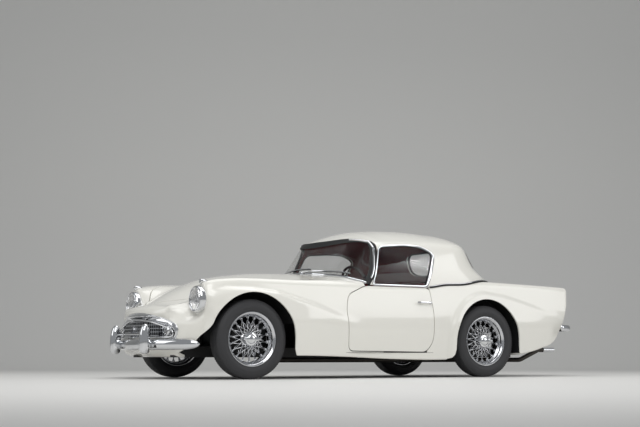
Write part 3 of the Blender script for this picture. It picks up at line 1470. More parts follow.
    def place(self, owner: dict[str, str]) -> None:
        """Puts all four wheels on their bodies."""
        templates = {"tyre": [self.tyre()], "wheel": [self.rim_ring(), self.hub(), self.spoke_set()]}
        for end, x, track in (("front", FRONT_X, 1.27), ("rear", REAR_X, 1.219)):
            for side, sign in SIDES:
                turn = Matrix.Identity(4) if sign > 0 else Matrix.Rotation(math.pi, 4, "Z")
                move = Matrix.Translation((x, sign * track / 2, WHEEL_Z)) @ turn
                for kind, members in templates.items():
                    node = f"{kind}_{end}_{side}"
                    for member in members:
                        made = copy_of(member, f"{member.name}_{end}_{side}")
                        made.data.transform(move)
                        show(made, owner[node], node)
        discard(*templates["tyre"], *templates["wheel"])
        LOG.info("wheels placed")


# ---------------------------------------------------------------- surface-following trim
@dataclass
class Surface:
    """Reads places off a master surface.

    Attributes:
        guide: The master's directions and faces.
    """

    guide: NormalGuide

    def side_y(self, x: float, z: float) -> float:
        """The right-hand side's half width at a place."""
        hit = self.guide.tree.ray_cast(Vector((x, 2, z)), Vector((0, -1, 0)))[0]
        return hit.y if hit else 0.6

    def top_z(self, x: float, y: float) -> float:
        """The top's height at a place."""
        hit = self.guide.tree.ray_cast(Vector((x, y, 2)), Vector((0, 0, -1)))[0]
        return hit.z if hit else 0.8

    def front_x(self, y: float, z: float) -> float:
        """How far forward the front reaches at a place."""
        hit = self.guide.tree.ray_cast(Vector((-3, y, z)), Vector((1, 0, 0)))[0]
        return hit.x if hit else FRONT_X - 0.6


def varying_bar(name: str, path: Sequence[Point], sections: Sequence[Outline], up: Point = (0, 0, 1),
                shading: Shading = Shading.ROUND) -> Solid:
    """A bar whose section changes along its path; sections count sideways and upwards."""
    return tube_solid(name, np.array(section_rings(path, sections, up)), shading)


def squarish_ring(centre: Point, deep: float, wide: float, power: float, steps: int) -> list[Point]:
    """A level ring, squarer than an ellipse; a negative deep starts it at the front."""
    x, y, z = centre
    ring = []
    for t in np.linspace(0, 2 * math.pi, steps, endpoint=False):
        c, s = math.cos(t), math.sin(t)
        ring.append((x + deep * math.copysign(abs(c) ** power, c),
            y + wide * math.copysign(abs(s) ** 0.85, s), z))
    return ring


def half_round(depth: float, height: float, steps: int = 12) -> list[Flat]:
    """A half-round blade's section: domed one way, flat the other."""
    arc = [(depth * math.cos(t), height / 2 * math.sin(t))
        for t in np.linspace(-math.pi / 2, math.pi / 2, steps)]
    return arc + [(-0.003, height / 2 * 0.92), (-0.003, -height / 2 * 0.92)]


@dataclass
class Dress:
    """What every fitting needs to know about the car.

    Attributes:
        body: The body's master surface.
        owner: The body each CAD node rides on.
    """

    body: Surface
    owner: dict[str, str]

    def put(self, obj: Solid, node: str, slot: str) -> None:
        """Shows a piece in place of a CAD node."""
        show(obj, self.owner[node], node)


class NoseDress(Dress):
    """Lamps, grille and bumper."""

    def headlamp(self, side: str, sign: int) -> None:
        """One headlamp: its rim, bowl, domed lens and bulb."""
        flat = math.cos(1.2)
        dome = [(math.sin(t), (math.cos(t) - flat) / (1 - flat)) for t in np.linspace(0, math.pi / 2, 12)]
        rim = [(103, 30), (104.5, -1), (104, -11), (101, -21), (96.5, -27.5), (92.5, -29.5), (90, -28),
            (89.3, -21), (89.3, -8), (91, 30)]
        lens = [(89.6 * r, max(-32, -20.5 - 10.8 * d)) for r, d in dome] + [(89.6, -18.5), (0, -22.5)]
        parts = (
            Turned("lamp_rim", rim, CHROME, 96),
            Turned("lamp_bowl", [(0, -1), (45, -3), (74, -9), (89, -19), (89, 1), (0, 1)], REFLECTOR, 64),
            Turned("lamp_lens", lens, LAMP_GLASS, 64),
            Turned("lamp_bulb", [(0, -14), (6, -12), (8, -7), (7, -1), (0, -1)], CHROME, 24))
        seat = (FRONT_X - 0.408, sign * 0.574, 0.607)
        self.put(joined(f"headlamp_{side}_dress", [p.at(seat) for p in parts]), f"headlamp_{side}", "lamp")

    def side_lamp(self, side: str, sign: int) -> None:
        """The small lamp on the wing's top over a headlamp."""
        y = sign * 0.585
        top = self.body.top_z(FRONT_X - 0.365, y)
        shell = [(0, 60), (6, 52), (12.5, 34), (16.5, 12), (17.5, -6), (17.5, -12), (15, -14),
            (15, -8), (0, -8)]
        glass = [(0, -22.5), (7, -20.5), (12.5, -16.5), (14.8, -12.5), (14.8, -9), (0, -9)]
        parts = (Turned("side_lamp_shell", shell, CHROME, 32),
            Turned("side_lamp_glass", glass, LAMP_GLASS, 32))
        x = FRONT_X - 0.385
        pieces = [p.at((x, y, top + 0.008)) for p in parts]
        foot = block("side_lamp_foot", (x - 0.008, y - 0.01, top - 0.014), (x + 0.04, y + 0.01, top + 0.006),
            0.006)
        pieces.append(coated(foot, CHROME))
        show(joined(f"side_lamp_{side}", pieces), self.owner[f"headlamp_{side}"])

    def lamps(self) -> None:
        """Both sides' headlamps and side lamps."""
        for side, sign in SIDES:
            self.headlamp(side, sign)
            self.side_lamp(side, sign)

    def nose_x(self, y: float) -> float:
        """The intake's own face."""
        return FRONT_X - 0.64 + 0.082 * (abs(y) / 0.47) ** 2.2

    def mouth_edge(self) -> list[tuple[float, float, float, float, float]]:
        """The intake's edge over its top: y, z, the outward direction and the hood's width at each place."""
        line = mouth_outline(0.0)
        right = line[: (len(line) + 1) // 2]
        line = [(-y, z) for y, z in reversed(right)] + right[1:]
        made = []
        for k, (y, z) in enumerate(line):
            before, after = line[max(k - 1, 0)], line[min(k + 1, len(line) - 1)]
            ty, tz = after[0] - before[0], after[1] - before[1]
            size = math.hypot(ty, tz)
            ny, nz = -tz / size, ty / size
            wide = 0.012 + 0.028 * max(0.0, nz) + 0.016 * max(0.0, 0.6 - abs(abs(nz) - 0.7)) * max(0.0, nz)
            made.append((y, z, ny, nz, wide))
        return made

    def grille(self) -> None:
        """Egg-crate cells, the surround, the hood over it and a lamp in each end."""
        pitch, thick, foot = 0.0272, 0.0029, 0.321
        bar = block("bar_v", (0.0, -thick, foot), (0.02, thick, 0.46), 0)
        bars = [repeated(bar, Repeat.ROW, SPOKE_CHROME, 33, -16.0, (0, pitch, 0))]
        for k in range(5):
            path = [(0.01, y, foot + 0.014 + k * pitch) for y in np.linspace(-0.455, 0.455, 53)]
            section = [(-0.01, -thick), (0.01, -thick), (0.01, thick), (-0.01, thick)]
            bars.append(coated(sweep("bar_h", path, section, shading=Shading.FLAT), SPOKE_CHROME))
        cells = joined("grille_cells", bars)
        for vert in cells.data.vertices:
            vert.co.z = min(vert.co.z, mouth_top(vert.co.y) + 0.003)
            vert.co.x += self.nose_x(vert.co.y) + 0.004
        pieces = [cells]
        edge = self.mouth_edge()
        low = [(y, foot) for y in np.linspace(0.42, -0.42, 32)]
        loop = [(y, z) for y, z, *_ in edge] + low
        path = [(self.nose_x(y) - 0.005, y, z) for y, z in loop]
        pieces.append(coated(sweep("grille_ring", path, circle_section(0.0062, 10), closed=True,
            up=(1, 0, 0)), CHROME))
        rings, rim = [], []
        for y, z, ny, nz, wide in edge:
            section = []
            for share in (*np.linspace(0, 1, 9), 1.0, 0.0):
                py, pz = y + ny * (0.005 + wide * share), z + nz * (0.005 + wide * share)
                skin_x = self.body.front_x(py, pz)
                if len(section) < 9:
                    swell = 0.01 * math.sin(math.pi * min(1.0, 0.1 + 0.9 * share)) ** 0.8
                    near = min(skin_x, self.nose_x(py) + 0.02)
                    section.append((near * (1 - share) + skin_x * share - 0.003 - swell, py, pz))
                else:
                    section.append((skin_x + 0.006, py, pz))
            rings.append(section)
            _, py, pz = section[8]
            rim.append((self.body.front_x(py, pz) - 0.003, py, pz))
        pieces.append(coated(tube_solid("grille_hood", np.array(rings), Shading.ROUND), CHROME))
        pieces.append(coated(sweep("hood_rim", rim, circle_section(0.0052, 10), up=(1, 0, 0)), CHROME))
        fog_lamp = (
            Turned("fog_rim", [(38, 20), (39, 2), (36.5, -4), (32, -5), (31, 4), (34, 20)], CHROME),
            Turned("fog_glass", [(0, -13), (13, -11.5), (24, -7), (31, -1), (31, 3), (0, 3)], LAMP_GLASS),
            Turned("fog_bowl", [(0, 20), (20, 16), (31.5, 5), (34, 12), (0, 26)], REFLECTOR))
        for y in (-0.402, 0.402):
            pieces += [p.at((self.nose_x(y) - 0.004, y, 0.366)) for p in fog_lamp]
        self.put(joined("grille_dress", pieces), "grille", "chrome")
        core = block("radiator_core", (FRONT_X - 0.47, -0.3, 0.2), (FRONT_X - 0.43, 0.3, 0.56), 0.004)
        show(coated(core, BLACK_PAINT), "body")

    def bumper(self) -> None:
        """The half-round blade, its overriders, the bar between them and the brackets."""
        pieces = []
        path, sections = [], []
        for y in np.concatenate([np.linspace(-0.63, -0.52, 12), np.linspace(-0.52, 0.52, 57)[1:-1],
                np.linspace(0.52, 0.63, 12)]):
            x = FRONT_X - 0.676 + (0.85 - math.sqrt(0.85 ** 2 - y * y)) * 0.93
            end = max(0.0, (abs(y) - 0.52) / 0.1105)
            size = max(0.12, math.sqrt(max(0.0, 1 - end ** 2.2)))
            path.append((x, y, 0.267))
            sections.append([(a * size, b * size) for a, b in half_round(0.033, 0.086, 16)])
        blade = varying_bar("bumper_blade", path, [[(-a, b) for a, b in s] for s in sections])
        pieces.append(coated(blade, CHROME))
        for sign in (-1, 1):
            rings = []
            y0 = sign * 0.27
            front = FRONT_X - 0.748
            for z, wide, lead, rear in (
                (194, 12, 36, 62), (198, 22, 22, 72), (210, 30, 9, 80), (240, 35, 1, 86), (285, 36.5, 0, 88),
                (320, 36.5, 1, 88), (360, 35, 6, 84), (392, 29.5, 15, 76), (412, 20.5, 27, 66),
                (422.5, 9, 40, 56)):
                centre = (front + (lead + rear) / 2 * MM, y0, z * MM)
                rings.append(squarish_ring(centre, (lead - rear) / 2 * MM, wide * MM, 0.75, 20))
            pieces.append(coated(tube_solid("overrider", np.array(rings), Shading.ROUND), CHROME))
            iron = block("bumper_iron", (FRONT_X - 0.65, sign * 0.325 - 0.018, 0.24),
                (self.body.front_x(0.325, 0.25) + 0.006, sign * 0.325 + 0.018, 0.262), 0.002)
            pieces.append(coated(iron, BLACK_PAINT))
        link = [(FRONT_X - 0.712 + 0.02 * (abs(y) / 0.27) ** 2, y, 0.345)
            for y in np.linspace(-0.262, 0.262, 13)]
        pieces.append(coated(sweep("overrider_link", link, circle_section(0.0055, 12)), CHROME))
        self.put(joined("front_bumper_dress", pieces), "front_bumper", "chrome")


class TailDress(Dress):
    """Rear bumpers, tail lamps, the exhaust's bright end and the boot handle."""

    def build(self) -> None:
        """Makes both sides."""
        for side, sign in SIDES:
            pieces = []
            raw = [(0.968, 0.292), (0.972, 0.42), (0.971, 0.55), (0.962, 0.65), (0.935, 0.708), (0.89, 0.736),
                (0.84, 0.745), (0.805, 0.747)]
            path = smooth_path([(REAR_X + x, sign * y, 0.428) for x, y in raw], 8)
            sections = []
            for i in range(len(path)):
                share = min(i, len(path) - 1 - i) / (len(path) - 1)
                size = max(0.15, math.sqrt(max(0.0, 1 - max(0.0, 1 - share / 0.1) ** 2)))
                sections.append([(a * size * sign, b * size) for a, b in half_round(0.018, 0.056, 14)])
            pieces.append(coated(varying_bar("rear_blade", path, sections), CHROME))
            rings = []
            back = REAR_X + 0.99
            for z, wide, lead in ((362, 8, 12), (370, 16, 4), (395, 21, 0), (430, 22, 0), (462, 21, 2),
                    (486, 15, 8), (499, 5, 14)):
                depth = (13 - lead / 2) * MM
                centre = (back - lead * MM - depth, sign * 0.3225, z * MM)
                rings.append(squarish_ring(centre, depth, wide * MM, 0.8, 16))
            pieces.append(coated(tube_solid("rear_overrider", np.array(rings), Shading.ROUND), CHROME))
            iron = block("rear_iron", (REAR_X + 0.86, sign * 0.405 - 0.015, 0.415),
                (REAR_X + 0.966, sign * 0.405 + 0.015, 0.44), 0.002)
            pieces.append(coated(iron, BLACK_PAINT))
            self.put(joined(f"rear_bumper_{side}_dress", pieces), f"rear_bumper_{side}", "chrome")
            self.lamp(side, sign)
        tip = Turned("exhaust_tip", [(20.5, -130), (21.2, -129), (21.2, -1), (18.5, -1), (18.5, -130)],
            CHROME)
        show(tip.at((REAR_X + 0.985, -0.45, 0.235)), "body")
        handle_x = REAR_X + 0.838
        z = self.body.top_z(handle_x, 0.0)
        grip = block("boot_handle", (handle_x - 0.012, -0.055, z - 0.002),
            (handle_x + 0.01, 0.055, z + 0.014), 0.005)
        show(coated(grip, CHROME), "boot_lid")

    def lamp(self, side: str, sign: int) -> None:
        """A tail lamp and the reflector under it."""
        lamp_rim = [(34, -40), (34, -12), (32, -8), (27, -7), (26, -40)]
        lamp_glass = [(0, 0), (13.6, -1), (22.1, -5), (26.5, -12), (26.5, -30), (0, -30)]
        small_rim = [(20.5, -42), (20.5, -17), (18.5, -14), (15, -14), (14.5, -42)]
        small_glass = [(0, -11), (8, -12), (14.8, -16), (14.8, -37), (0, -37)]
        pieces = []
        for z, parts in (
            (0.69, (Turned("tail_rim", lamp_rim, CHROME), Turned("tail_glass", lamp_glass, RED_GLASS))),
            (0.643,
            (Turned("reflector_rim", small_rim, CHROME, 32),
            Turned("reflector_glass", small_glass, RED_GLASS, 32)))):
            pieces += [p.at((REAR_X + 0.985, sign * 0.612, z)) for p in parts]
        self.put(joined(f"tail_lamp_{side}_dress", pieces), f"tail_lamp_{side}", "lamp")


@dataclass
class ScreenDress(Dress):
    """Chrome and rubber round the glass, wipers and door handles.

    Attributes:
        roof: The hardtop's master surface.
    """

    roof: Surface

    def screen_point(self, y: float, z: float, depth: float = 0.0) -> Point:
        """A place on the windscreen's face."""
        return (screen_x(y, z, depth), y, z)

    def screen_edge(self, y: float, depth: float, inset: float = 0.0) -> Point:
        """Where the windscreen's face meets the roof's underside."""
        z = 1.17
        for _ in range(14):
            z = 0.5 * z + 0.5 * (self.roof.top_z(screen_x(y, z, depth), y) - inset)
        return self.screen_point(y, z, depth)

    def header(self) -> None:
        """The dark rubber over the windscreen, the bright strip under it and the strips down each side."""
        path = [self.screen_edge(y, 0.004) for y in np.linspace(-0.535, 0.535, 61)]
        seal = sweep("header_seal", [(x, y, z - 0.007) for x, y, z in path],
            flat_section(0.018, 0.026, 0.006), up=(0.5, 0, 1))
        show(coated(seal, SEAL_RUBBER), "body")
        for sign in (1, -1):
            side = [(x - 0.006, y, z - 0.006) for x, y, z in path if 0.36 < sign * y < 0.52]
            side.sort(key=lambda p: sign * p[1])
            for z in np.linspace(1.075, 0.815, 16):
                y = self.roof.side_y(FRONT_X + 1.2, z) - 0.007
                side.append((screen_x(y, z, -0.006), sign * y, z))
            strip = sweep(f"screen_side_{sign}", smooth_path(side, 3), flat_section(0.024, 0.016, 0.005),
                up=(1, 0, 0.3))
            show(coated(strip, CHROME), "body")

    def side_windows(self) -> None:
        """Bright frame and seal round each side window, and the bead under the hardtop."""
        outline = rounded(WINDOW_LINE, 0.055, 10)
        shown = [p for p in outline if p[1] > 0.757]
        start = min(range(len(shown)), key=lambda i: (shown[i][0], shown[i][1]))
        shown = shown[start:] + shown[:start]
        if shown[1][1] < shown[0][1]:
            shown = [shown[0]] + shown[:0:-1]
        dense = []
        for a, b in zip(shown, shown[1:]):
            count = max(1, int(math.dist(a, b) / 0.012))
            dense += [tuple(p + (q - p) * k / count for p, q in zip(a, b)) for k in range(count)]
        dense.append(shown[-1])
        for sign in (1, -1):
            side = "right" if sign > 0 else "left"
            path = [(x, sign * (self.roof.side_y(x, max(z, 0.84)) + 0.001 + max(0.0, 0.84 - z) * 0.06), z)
                for x, z in dense]
            wide = [0.016 + 0.014 * float(eased(0.0, 0.05, x - FRONT_X - 1.66 - 0.4 * (z - 0.75)))
                for x, z in dense]
            path = [(x + 0.45 * (w - 0.016), y, z) for (x, y, z), w in zip(path, wide)]
            frame = varying_bar(f"window_frame_{side}", path, [flat_section(w, 0.012, 0.003) for w in wide],
                up=(0, sign, 0.0))
            show(coated(frame, CHROME), "body")
            seal_path = []
            middle = (FRONT_X + 1.55, 0.9)
            for x, z in dense:
                span = math.dist((x, z), middle)
                pull = 0.01 / span
                seal_path.append((x + (middle[0] - x) * pull, z + (middle[1] - z) * pull))
            path = [(x, sign * (self.roof.side_y(x, max(z, 0.84)) - 0.004 + max(0.0, 0.84 - z) * 0.06), z)
                for x, z in seal_path]
            seal = sweep(f"window_seal_{side}", path, flat_section(0.01, 0.008, 0.002), up=(0, sign, 0.0))
            show(coated(seal, SEAL_RUBBER), "body")

    def rear_seal(self) -> None:
        """The rubber round the rear window, standing proud of the roof."""
        path = []
        for y, z in rear_window_line():
            hit = self.roof.guide.tree.ray_cast(Vector((3, y, z)), Vector((-1, 0, 0)))[0]
            path.append((hit.x + 0.004, y, z))
        seal = sweep("rear_window_seal", path, flat_section(0.024, 0.018, 0.006), closed=True,
            up=(1, 0, 0.35))
        show(coated(seal, SEAL_RUBBER), "body")

    def base_bead(self) -> None:
        """The rubber and bright bead where the hardtop meets the body."""
        ring = roof_grid(-2.0 * MM)[2]
        seal, strip = [], []
        for x, y, _ in (p for p in ring if p[0] > FRONT_X + 1.735):
            z = self.body.top_z(x, y)
            seal.append((x, y, z + 0.004))
            strip.append((x, y * 0.9985, z + 0.013))
        for name, path, finish, size in (("base_seal", seal, SEAL_RUBBER, 0.009),
                ("base_strip", strip, CHROME, 0.0055)):
            bead = sweep(name, path, circle_section(size, 10))
            show(coated(bead, finish), "body")

    def screen_base(self) -> None:
        """The bright strip under the windscreen and two wipers."""
        def base(y: float, depth: float) -> Point:
            """Where the windscreen's face meets the scuttle."""
            z = 0.84
            for _ in range(14):
                z = 0.5 * z + 0.5 * self.body.top_z(screen_x(y, z, depth), y)
            return self.screen_point(y, z, depth)

        path = [base(y, -0.009) for y in np.linspace(-0.64, 0.64, 65)]
        strip = sweep("screen_base_strip", [(x, y, z + 0.007) for x, y, z in path],
            flat_section(0.014, 0.016, 0.004))
        show(coated(strip, CHROME), "body")
        for number, (pivot_y, reach_y) in enumerate(((-0.13, -0.36), (0.21, -0.36))):
            x, y, z = base(pivot_y, -0.04)
            boss = [(0, -6), (14, -6), (14, 10), (9, 17), (0, 18)]
            pieces = [Turned("wiper_boss", boss, CHROME, 24, "Z").at((x, y, z))]
            arm = [(x, y, z + 0.014)]
            for t in np.linspace(0.25, 1.0, 7):
                px, py, pz = base(pivot_y + 0.62 * reach_y * t, -0.02)
                arm.append((px, py, pz + 0.022 + 0.016 * t))
            pieces.append(coated(sweep("wiper_arm", smooth_path(arm, 4), flat_section(0.008, 0.005, 0.001)),
                CHROME))
            blade = []
            for t in np.linspace(0.3, 1.18, 15):
                px, py, pz = base(pivot_y + reach_y * t, -0.01)
                blade.append((px, py, pz + 0.026 + 0.016 * t))
            pieces.append(coated(sweep("wiper_blade", blade, flat_section(0.004, 0.01, 0.001)), SEAL_RUBBER))
            spine = [(bx - 0.005, by, bz + 0.005) for bx, by, bz in blade]
            pieces.append(coated(sweep("wiper_spine", spine, flat_section(0.005, 0.007, 0.001)), CHROME))
            show(joined(f"wiper_{number + 1}", pieces), "body")

    def handles(self) -> None:
        """A pull handle and lock on each door."""
        for side, sign in SIDES:
            pieces = []
            x0, x1, z = FRONT_X + 1.572, FRONT_X + 1.718, 0.622
            face = [self.body.side_y(x, z) for x in (x0, x1)]
            base = (face[0] + face[1]) / 2
            path = [(x1, sign * (face[1] + 0.004), z), (x1 - 0.006, sign * (base + 0.02), z),
                (x1 - 0.02, sign * (base + 0.027), z),
                    (x0 + 0.05, sign * (base + 0.028), z + 0.001),
                    (x0 + 0.018, sign * (base + 0.026), z + 0.001), (x0, sign * (base + 0.02), z)]
            pieces.append(coated(sweep("handle_grip", smooth_path(path, 6), flat_section(0.01, 0.015, 0.004)),
                CHROME))
            for x in (x1 - 0.002, x0 + 0.038):
                size = 0.016 if x > x0 + 0.1 else 0.009
                profile = [(0.0, base - 0.002), (size, base - 0.002), (size * 0.95, base + 0.004),
                    (size * 0.5, base + 0.022), (0.0, base + 0.024)]
                boss = revolve("handle_boss", profile, (x, 0, z), "Y", 24)
                if sign < 0:
                    boss.data.transform(Matrix.Diagonal((1, -1, 1, 1)))
                    boss.data.flip_normals()
                pieces.append(coated(boss, CHROME))
            show(joined(f"door_handle_{side}", pieces), f"door_{side}")

    def build(self) -> None:
        """All of it."""
        self.header()
        self.side_windows()
        self.rear_seal()
        self.base_bead()
        self.screen_base()
        self.handles()


# ---------------------------------------------------------------- cockpit
def pad(name: str, size: Point, ease: float, pleats: int, puff: float, steps: int = 30) -> Solid:
    """An upholstered pad about the origin, pleated on its top with the seams running along X.

    Args:
        name: The object's name.
        size: Length, width and height.
        ease: Radius of its edges.
        pleats: Number of pleats across its middle.
        puff: How far its faces belly out.
        steps: Squares along each face.
    """
    half = np.array(size) / 2
    verts, faces, seen = [], [], {}

    def corner(p: np.ndarray) -> int:
        """The number of the corner at a place on the unit cube, made if it is new."""
        inner = np.clip(p * half, -(half - ease), half - ease)
        away = p * half - inner
        length = np.linalg.norm(away)
        q = inner + (away / length * ease if length > 1e-9 else away)
        u, v = p[0], p[1]
        if p[2] > 0.99:
            q[2] += puff * (1 - u * u) * (1 - v * v)
            if abs(v) < 0.72 and abs(u) < 0.8:
                wave = abs(math.sin(math.pi * (v / 0.72 * 0.5 + 0.5) * pleats))
                q[2] -= 0.0065 * (1 - wave) ** 2.2
            edge = max(abs(v) / 0.76, abs(u) / 0.84)
            q[2] -= 0.006 * math.exp(-((edge - 1) / 0.035) ** 2)
        elif abs(p[0]) > 0.99 or abs(p[1]) > 0.99:
            axis = 0 if abs(p[0]) > 0.99 else 1
            other = p[1 - axis]
            q[axis] += 0.4 * puff * p[axis] * (1 - other * other) * (1 - p[2] * p[2])
        key = tuple(np.round(q, 6))
        if key not in seen:
            seen[key] = len(verts)
            verts.append(tuple(q))
        return seen[key]

    for axis in range(3):
        for sign in (-1, 1):
            for i in range(steps):
                for j in range(steps):
                    quad = []
                    for a, b in ((i, j), (i + 1, j), (i + 1, j + 1), (i, j + 1)):
                        p = np.zeros(3)
                        p[axis] = sign
                        p[(axis + 1) % 3] = 2 * a / steps - 1
                        p[(axis + 2) % 3] = 2 * b / steps - 1
                        quad.append(corner(p))
                    if len(set(quad)) > 2:
                        faces.append(list(dict.fromkeys(quad)))
    return new_object(name, verts, faces, Shading.ROUND)


@dataclass
class Cockpit:
    """Seats, wheel, dashboard and carpets.

    Attributes:
        owner: The body each CAD node rides on.
    """

    owner: dict[str, str]

    def seats(self) -> None:
        """Two pleated bucket seats, each a cushion and a backrest."""
        for side, sign in SIDES:
            y = sign * 0.34
            cushion = pad(f"cushion_{side}", (0.47, 0.44, 0.125), 0.045, 7, 0.01, 44)
            cushion.data.transform(Matrix.Translation((FRONT_X + 1.18 + 0.237, y, 0.342))
                @ Matrix.Rotation(math.radians(3), 4, "Y"))
            show(coated(cushion, RED_HIDE), "body", f"seat_{side}")
            back = pad(f"backrest_{side}", (0.5, 0.44, 0.09), 0.04, 7, 0.012, 44)
            turn = Matrix.Rotation(math.radians(-90 + 19), 4, "Y")
            back.data.transform(Matrix.Translation((FRONT_X + 1.71, y, 0.555)) @ turn)
            show(coated(back, RED_HIDE), "body", f"seat_{side}")
            base = block(f"seat_base_{side}", (FRONT_X + 1.2, y - 0.2, 0.256),
                (FRONT_X + 1.63, y + 0.2, 0.3), 0.006)
            show(coated(base, BLACK_PAINT), "body", f"seat_{side}")

    def steering_wheel(self) -> None:
        """A thin black rim on three sprung bright spokes."""
        along = Vector((475, 0, 183)).normalized()
        centre = Vector((FRONT_X + 1.2, -0.345, 0.735)) + along * 0.0005
        basis = Matrix((along, Vector((0, 1, 0)), along.cross(Vector((0, 1, 0))))).transposed().to_4x4()
        move = Matrix.Translation(centre) @ basis
        pieces = []
        ring = [(0.195 + 0.011 * math.cos(t), 0.014 + 0.011 * math.sin(t))
            for t in np.linspace(0, 2 * math.pi, 16, endpoint=False)]
        pieces.append(coated(revolve("rim_ring", ring, (0, 0, 0), "X", 96, shading=Shading.ROUND),
            BLACK_PLASTIC))
        boss = [(0, 0), (24, 0), (28, 6), (28, 18), (22, 27), (10, 30), (0, 30)]
        pieces.append(Turned("wheel_boss", boss, BLACK_PLASTIC, 48).at(ORIGIN))
        for turn in (30, 150, 270):
            for lane in (-0.006, -0.002, 0.002, 0.006):
                a = math.radians(turn)
                out, side = Vector((0, math.cos(a), math.sin(a))), Vector((0, -math.sin(a), math.cos(a)))
                path = [tuple(Vector((0.0135, 0, 0)) + out * r + side * lane) for r in (0.022, 0.1, 0.19)]
                pieces.append(coated(sweep("spoke_wire", path, circle_section(0.0016, 6), up=(1, 0, 0)),
                    CHROME))
        wheel = joined("steering_wheel_dress", pieces)
        wheel.data.transform(move)
        show(wheel, self.owner["steering_wheel"], "steering_wheel")

    def dashboard(self) -> None:
        """Dials, switches and a crash roll on the dashboard's face."""
        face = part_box("dashboard")[1].x
        pieces = []
        for y, z, size in ((-0.435, 0.735, 52), (-0.255, 0.735, 52), (-0.05, 0.755, 28), (0.03, 0.755, 28),
                           (-0.05, 0.685, 28), (0.03, 0.685, 28)):
            rim = [(size, -4), (size, 4), (size - 4, 6), (size - 6, 2), (size - 6, -4)]
            plate = [(0, 1.5), (size - 5, 1.5), (size - 5, -3), (0, -3)]
            pieces.append(Turned("dial_rim", rim, CHROME).at((face, y, z)))
            pieces.append(Turned("dial_face", plate, BLACK_PLASTIC).at((face, y, z)))
            needle = block("needle", (face + 0.0016, y - 0.0008, z),
                (face + 0.0026, y + 0.0008, z + size * MM * 0.72), 0)
            pieces.append(coated(needle, CHROME))
        knob = Turned("knob", [(0, 0), (6, 0), (6, 10), (11, 14), (11, 20), (0, 22)], BLACK_PLASTIC, 20)
        pieces += [knob.at((face, -0.12 + 0.075 * k, 0.635)) for k in range(4)]
        lid = block("glove_lid", (face - 0.002, 0.14, 0.65), (face + 0.004, 0.48, 0.775), 0.004)
        pieces.append(coated(lid, RED_HIDE))
        show(joined("dashboard_dials", pieces), "body")

    def trim(self) -> None:
        """Tunnel, lever, carpets and rear trim."""
        z = 0.2565
        tunnel_line = [(-0.095, z), (0.095, z), (0.085, 0.33), (0.055, 0.372), (-0.055, 0.372),
            (-0.085, 0.33)]
        tunnel = prism("tunnel", rounded(tunnel_line, 0.018, 4), FRONT_X + 0.762, REAR_X - 0.576, "YZ")
        shade(tunnel, Shading.SOFT)
        show(coated(tunnel, RED_CARPET), "body")
        for side, sign in SIDES:
            low, high = sorted((sign * 0.1, sign * 0.57))
            mat = block(f"carpet_{side}", (FRONT_X + 0.765, low, z), (FRONT_X + 1.195, high, z + 0.007),
                0.002)
            show(coated(mat, RED_CARPET), "body")
        shelf = block("shelf_carpet", (REAR_X - 0.556, -0.49, 0.4205), (REAR_X - 0.048, 0.49, 0.427), 0.002)
        show(coated(shelf, RED_CARPET), "body")
        rear = block("rear_trim", (REAR_X - 0.052, -0.495, 0.43), (REAR_X - 0.046, 0.495, 0.815), 0.002)
        show(coated(rear, RED_LINING), "body")
        lever = sweep("gear_lever",
            smooth_path([(FRONT_X + 1.08, 0, 0.365), (FRONT_X + 1.09, 0, 0.43), (FRONT_X + 1.12, 0, 0.505)],
            6), circle_section(0.006, 10))
        knob = revolve("lever_knob",
            [(0.018 * math.sin(t), 0.512 - 0.018 * math.cos(t)) for t in np.linspace(0, math.pi, 12)],
            (FRONT_X + 1.122, 0, 0), "Z", 24)
        show(joined("gear_stick", [coated(lever, CHROME), coated(knob, BLACK_PLASTIC)]), "body")

    def build(self) -> None:
        """All of it."""
        self.seats()
        self.steering_wheel()
        self.dashboard()
        self.trim()


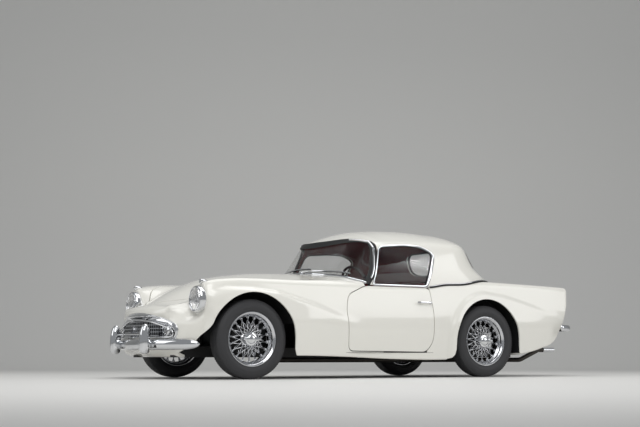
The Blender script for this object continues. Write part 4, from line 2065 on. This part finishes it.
# ---------------------------------------------------------------- studio
@dataclass
class Studio:
    """Floor, backdrop, soft lights and the camera."""

    spot: Point = (-6.2903, -9.4225, 0.1667)
    yaw: float = 0.57212
    pitch: float = 0.1099
    lens: float = 73.39

    def build(self) -> None:
        """Sets the floor, the lights and the camera."""
        verts = []
        section = [(-26, 0.0), (6.0, 0.0)] + [(6.0 + 3 * math.sin(t), 3 - 3 * math.cos(t))
            for t in np.linspace(0.1, math.pi / 2, 12)]
        section.append((9.0, 16.0))
        c, s = math.cos(-self.yaw), math.sin(-self.yaw)
        for depth, z in section:
            for side in (-34, 34):
                verts.append((side * c - depth * s, side * s + depth * c, z - 0.0005))
        floor = new_object("studio_floor", verts, grid_faces(len(section), 2), Shading.ROUND)
        coated(floor, FLOOR_FINISH)
        for name, spot, size, power in (
            ("key", (-3.5, -4.5, 5.2), 4.5, 190), ("fill", (-7.0, 2.5, 3.5), 4.0, 70),
            ("top", (0.3, 0.0, 5.5), 5.0, 120), ("side", (4.5, -5.0, 3.0), 3.5, 80)):
            data = bpy.data.lights.new(name, "AREA")
            data.energy = power
            data.size = size
            lamp = bpy.data.objects.new(name, data)
            lamp.location = spot
            lamp.rotation_euler = (Vector((0, 0, 0.4)) - Vector(spot)).to_track_quat("-Z", "Y").to_euler()
            bpy.context.scene.collection.objects.link(lamp)
        world = bpy.data.worlds.new("studio_world")
        world.use_nodes = True
        world.node_tree.nodes["Background"].inputs["Color"].default_value = linear("DADDE0")
        world.node_tree.nodes["Background"].inputs["Strength"].default_value = 0.42
        bpy.context.scene.world = world
        data = bpy.data.cameras.new("camera")
        data.lens = self.lens
        data.sensor_width = 36
        camera = bpy.data.objects.new("camera", data)
        camera.location = self.spot
        forward = Vector((math.sin(self.yaw) * math.cos(self.pitch),
            math.cos(self.yaw) * math.cos(self.pitch), math.sin(self.pitch)))
        right = Vector((math.cos(self.yaw), -math.sin(self.yaw), 0))
        up = right.cross(forward)
        basis = Matrix((right, up, -forward)).transposed()
        camera.rotation_euler = basis.to_euler()
        bpy.context.scene.collection.objects.link(camera)
        bpy.context.scene.camera = camera
        view = bpy.context.scene.view_settings
        view.view_transform = "Standard"


SLOT_FINISH = {
    "chrome": CHROME, "glass": CLEAR_GLASS, "lamp": LAMP_GLASS, "tyre": TYRE_RUBBER, "leather": RED_HIDE,
    "trim": RED_LINING,
    "rim_plastic": BLACK_PLASTIC, "iron": CAST_IRON, "steel": DULL_STEEL, "tub": UNDERBODY,
    "frame_steel": BLACK_PAINT, "paint": PAINT,
}


def dress_frame(nodes: dict[str, Solid], record: dict, taken: set[str]) -> None:
    """Gives every CAD node that still shows its own finish."""
    for part in record["subparts"]:
        node = nodes[part["node"]]
        if part["node"] not in taken and not node.hide_render:
            coated(node, SLOT_FINISH[part["material_slot"]])
            shade(node, Shading.SOFT)


def main() -> None:
    """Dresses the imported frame, piece by piece, and sets the studio."""
    logging.basicConfig(level=logging.INFO, format="%(message)s")
    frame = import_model()
    nodes, record = frame["nodes"], frame["record"]
    owner = {n: b for b, members in record["behaviour"]["bodies"].items() for n in members}
    skin = BodySkin()
    pieces = build_body(skin)
    roof_outer = roof_solid("roof_guide", 0.0)
    roof = Surface(NormalGuide(roof_outer))
    body = Surface(skin.guide)
    pieces.update(build_hardtop(skin))
    for name, obj in pieces.items():
        show(obj, owner[name], name)
        LOG.info("%s: %d faces", name, len(obj.data.polygons))
    discard(skin.outer, skin.inner, roof_outer)
    nose = NoseDress(body, owner)
    nose.lamps()
    nose.grille()
    nose.bumper()
    TailDress(body, owner).build()
    ScreenDress(body, owner, roof).build()
    WireWheel().place(owner)
    Cockpit(owner).build()
    dress_frame(nodes, record, set(pieces))
    Studio().build()


if __name__ == "__main__":
    main()
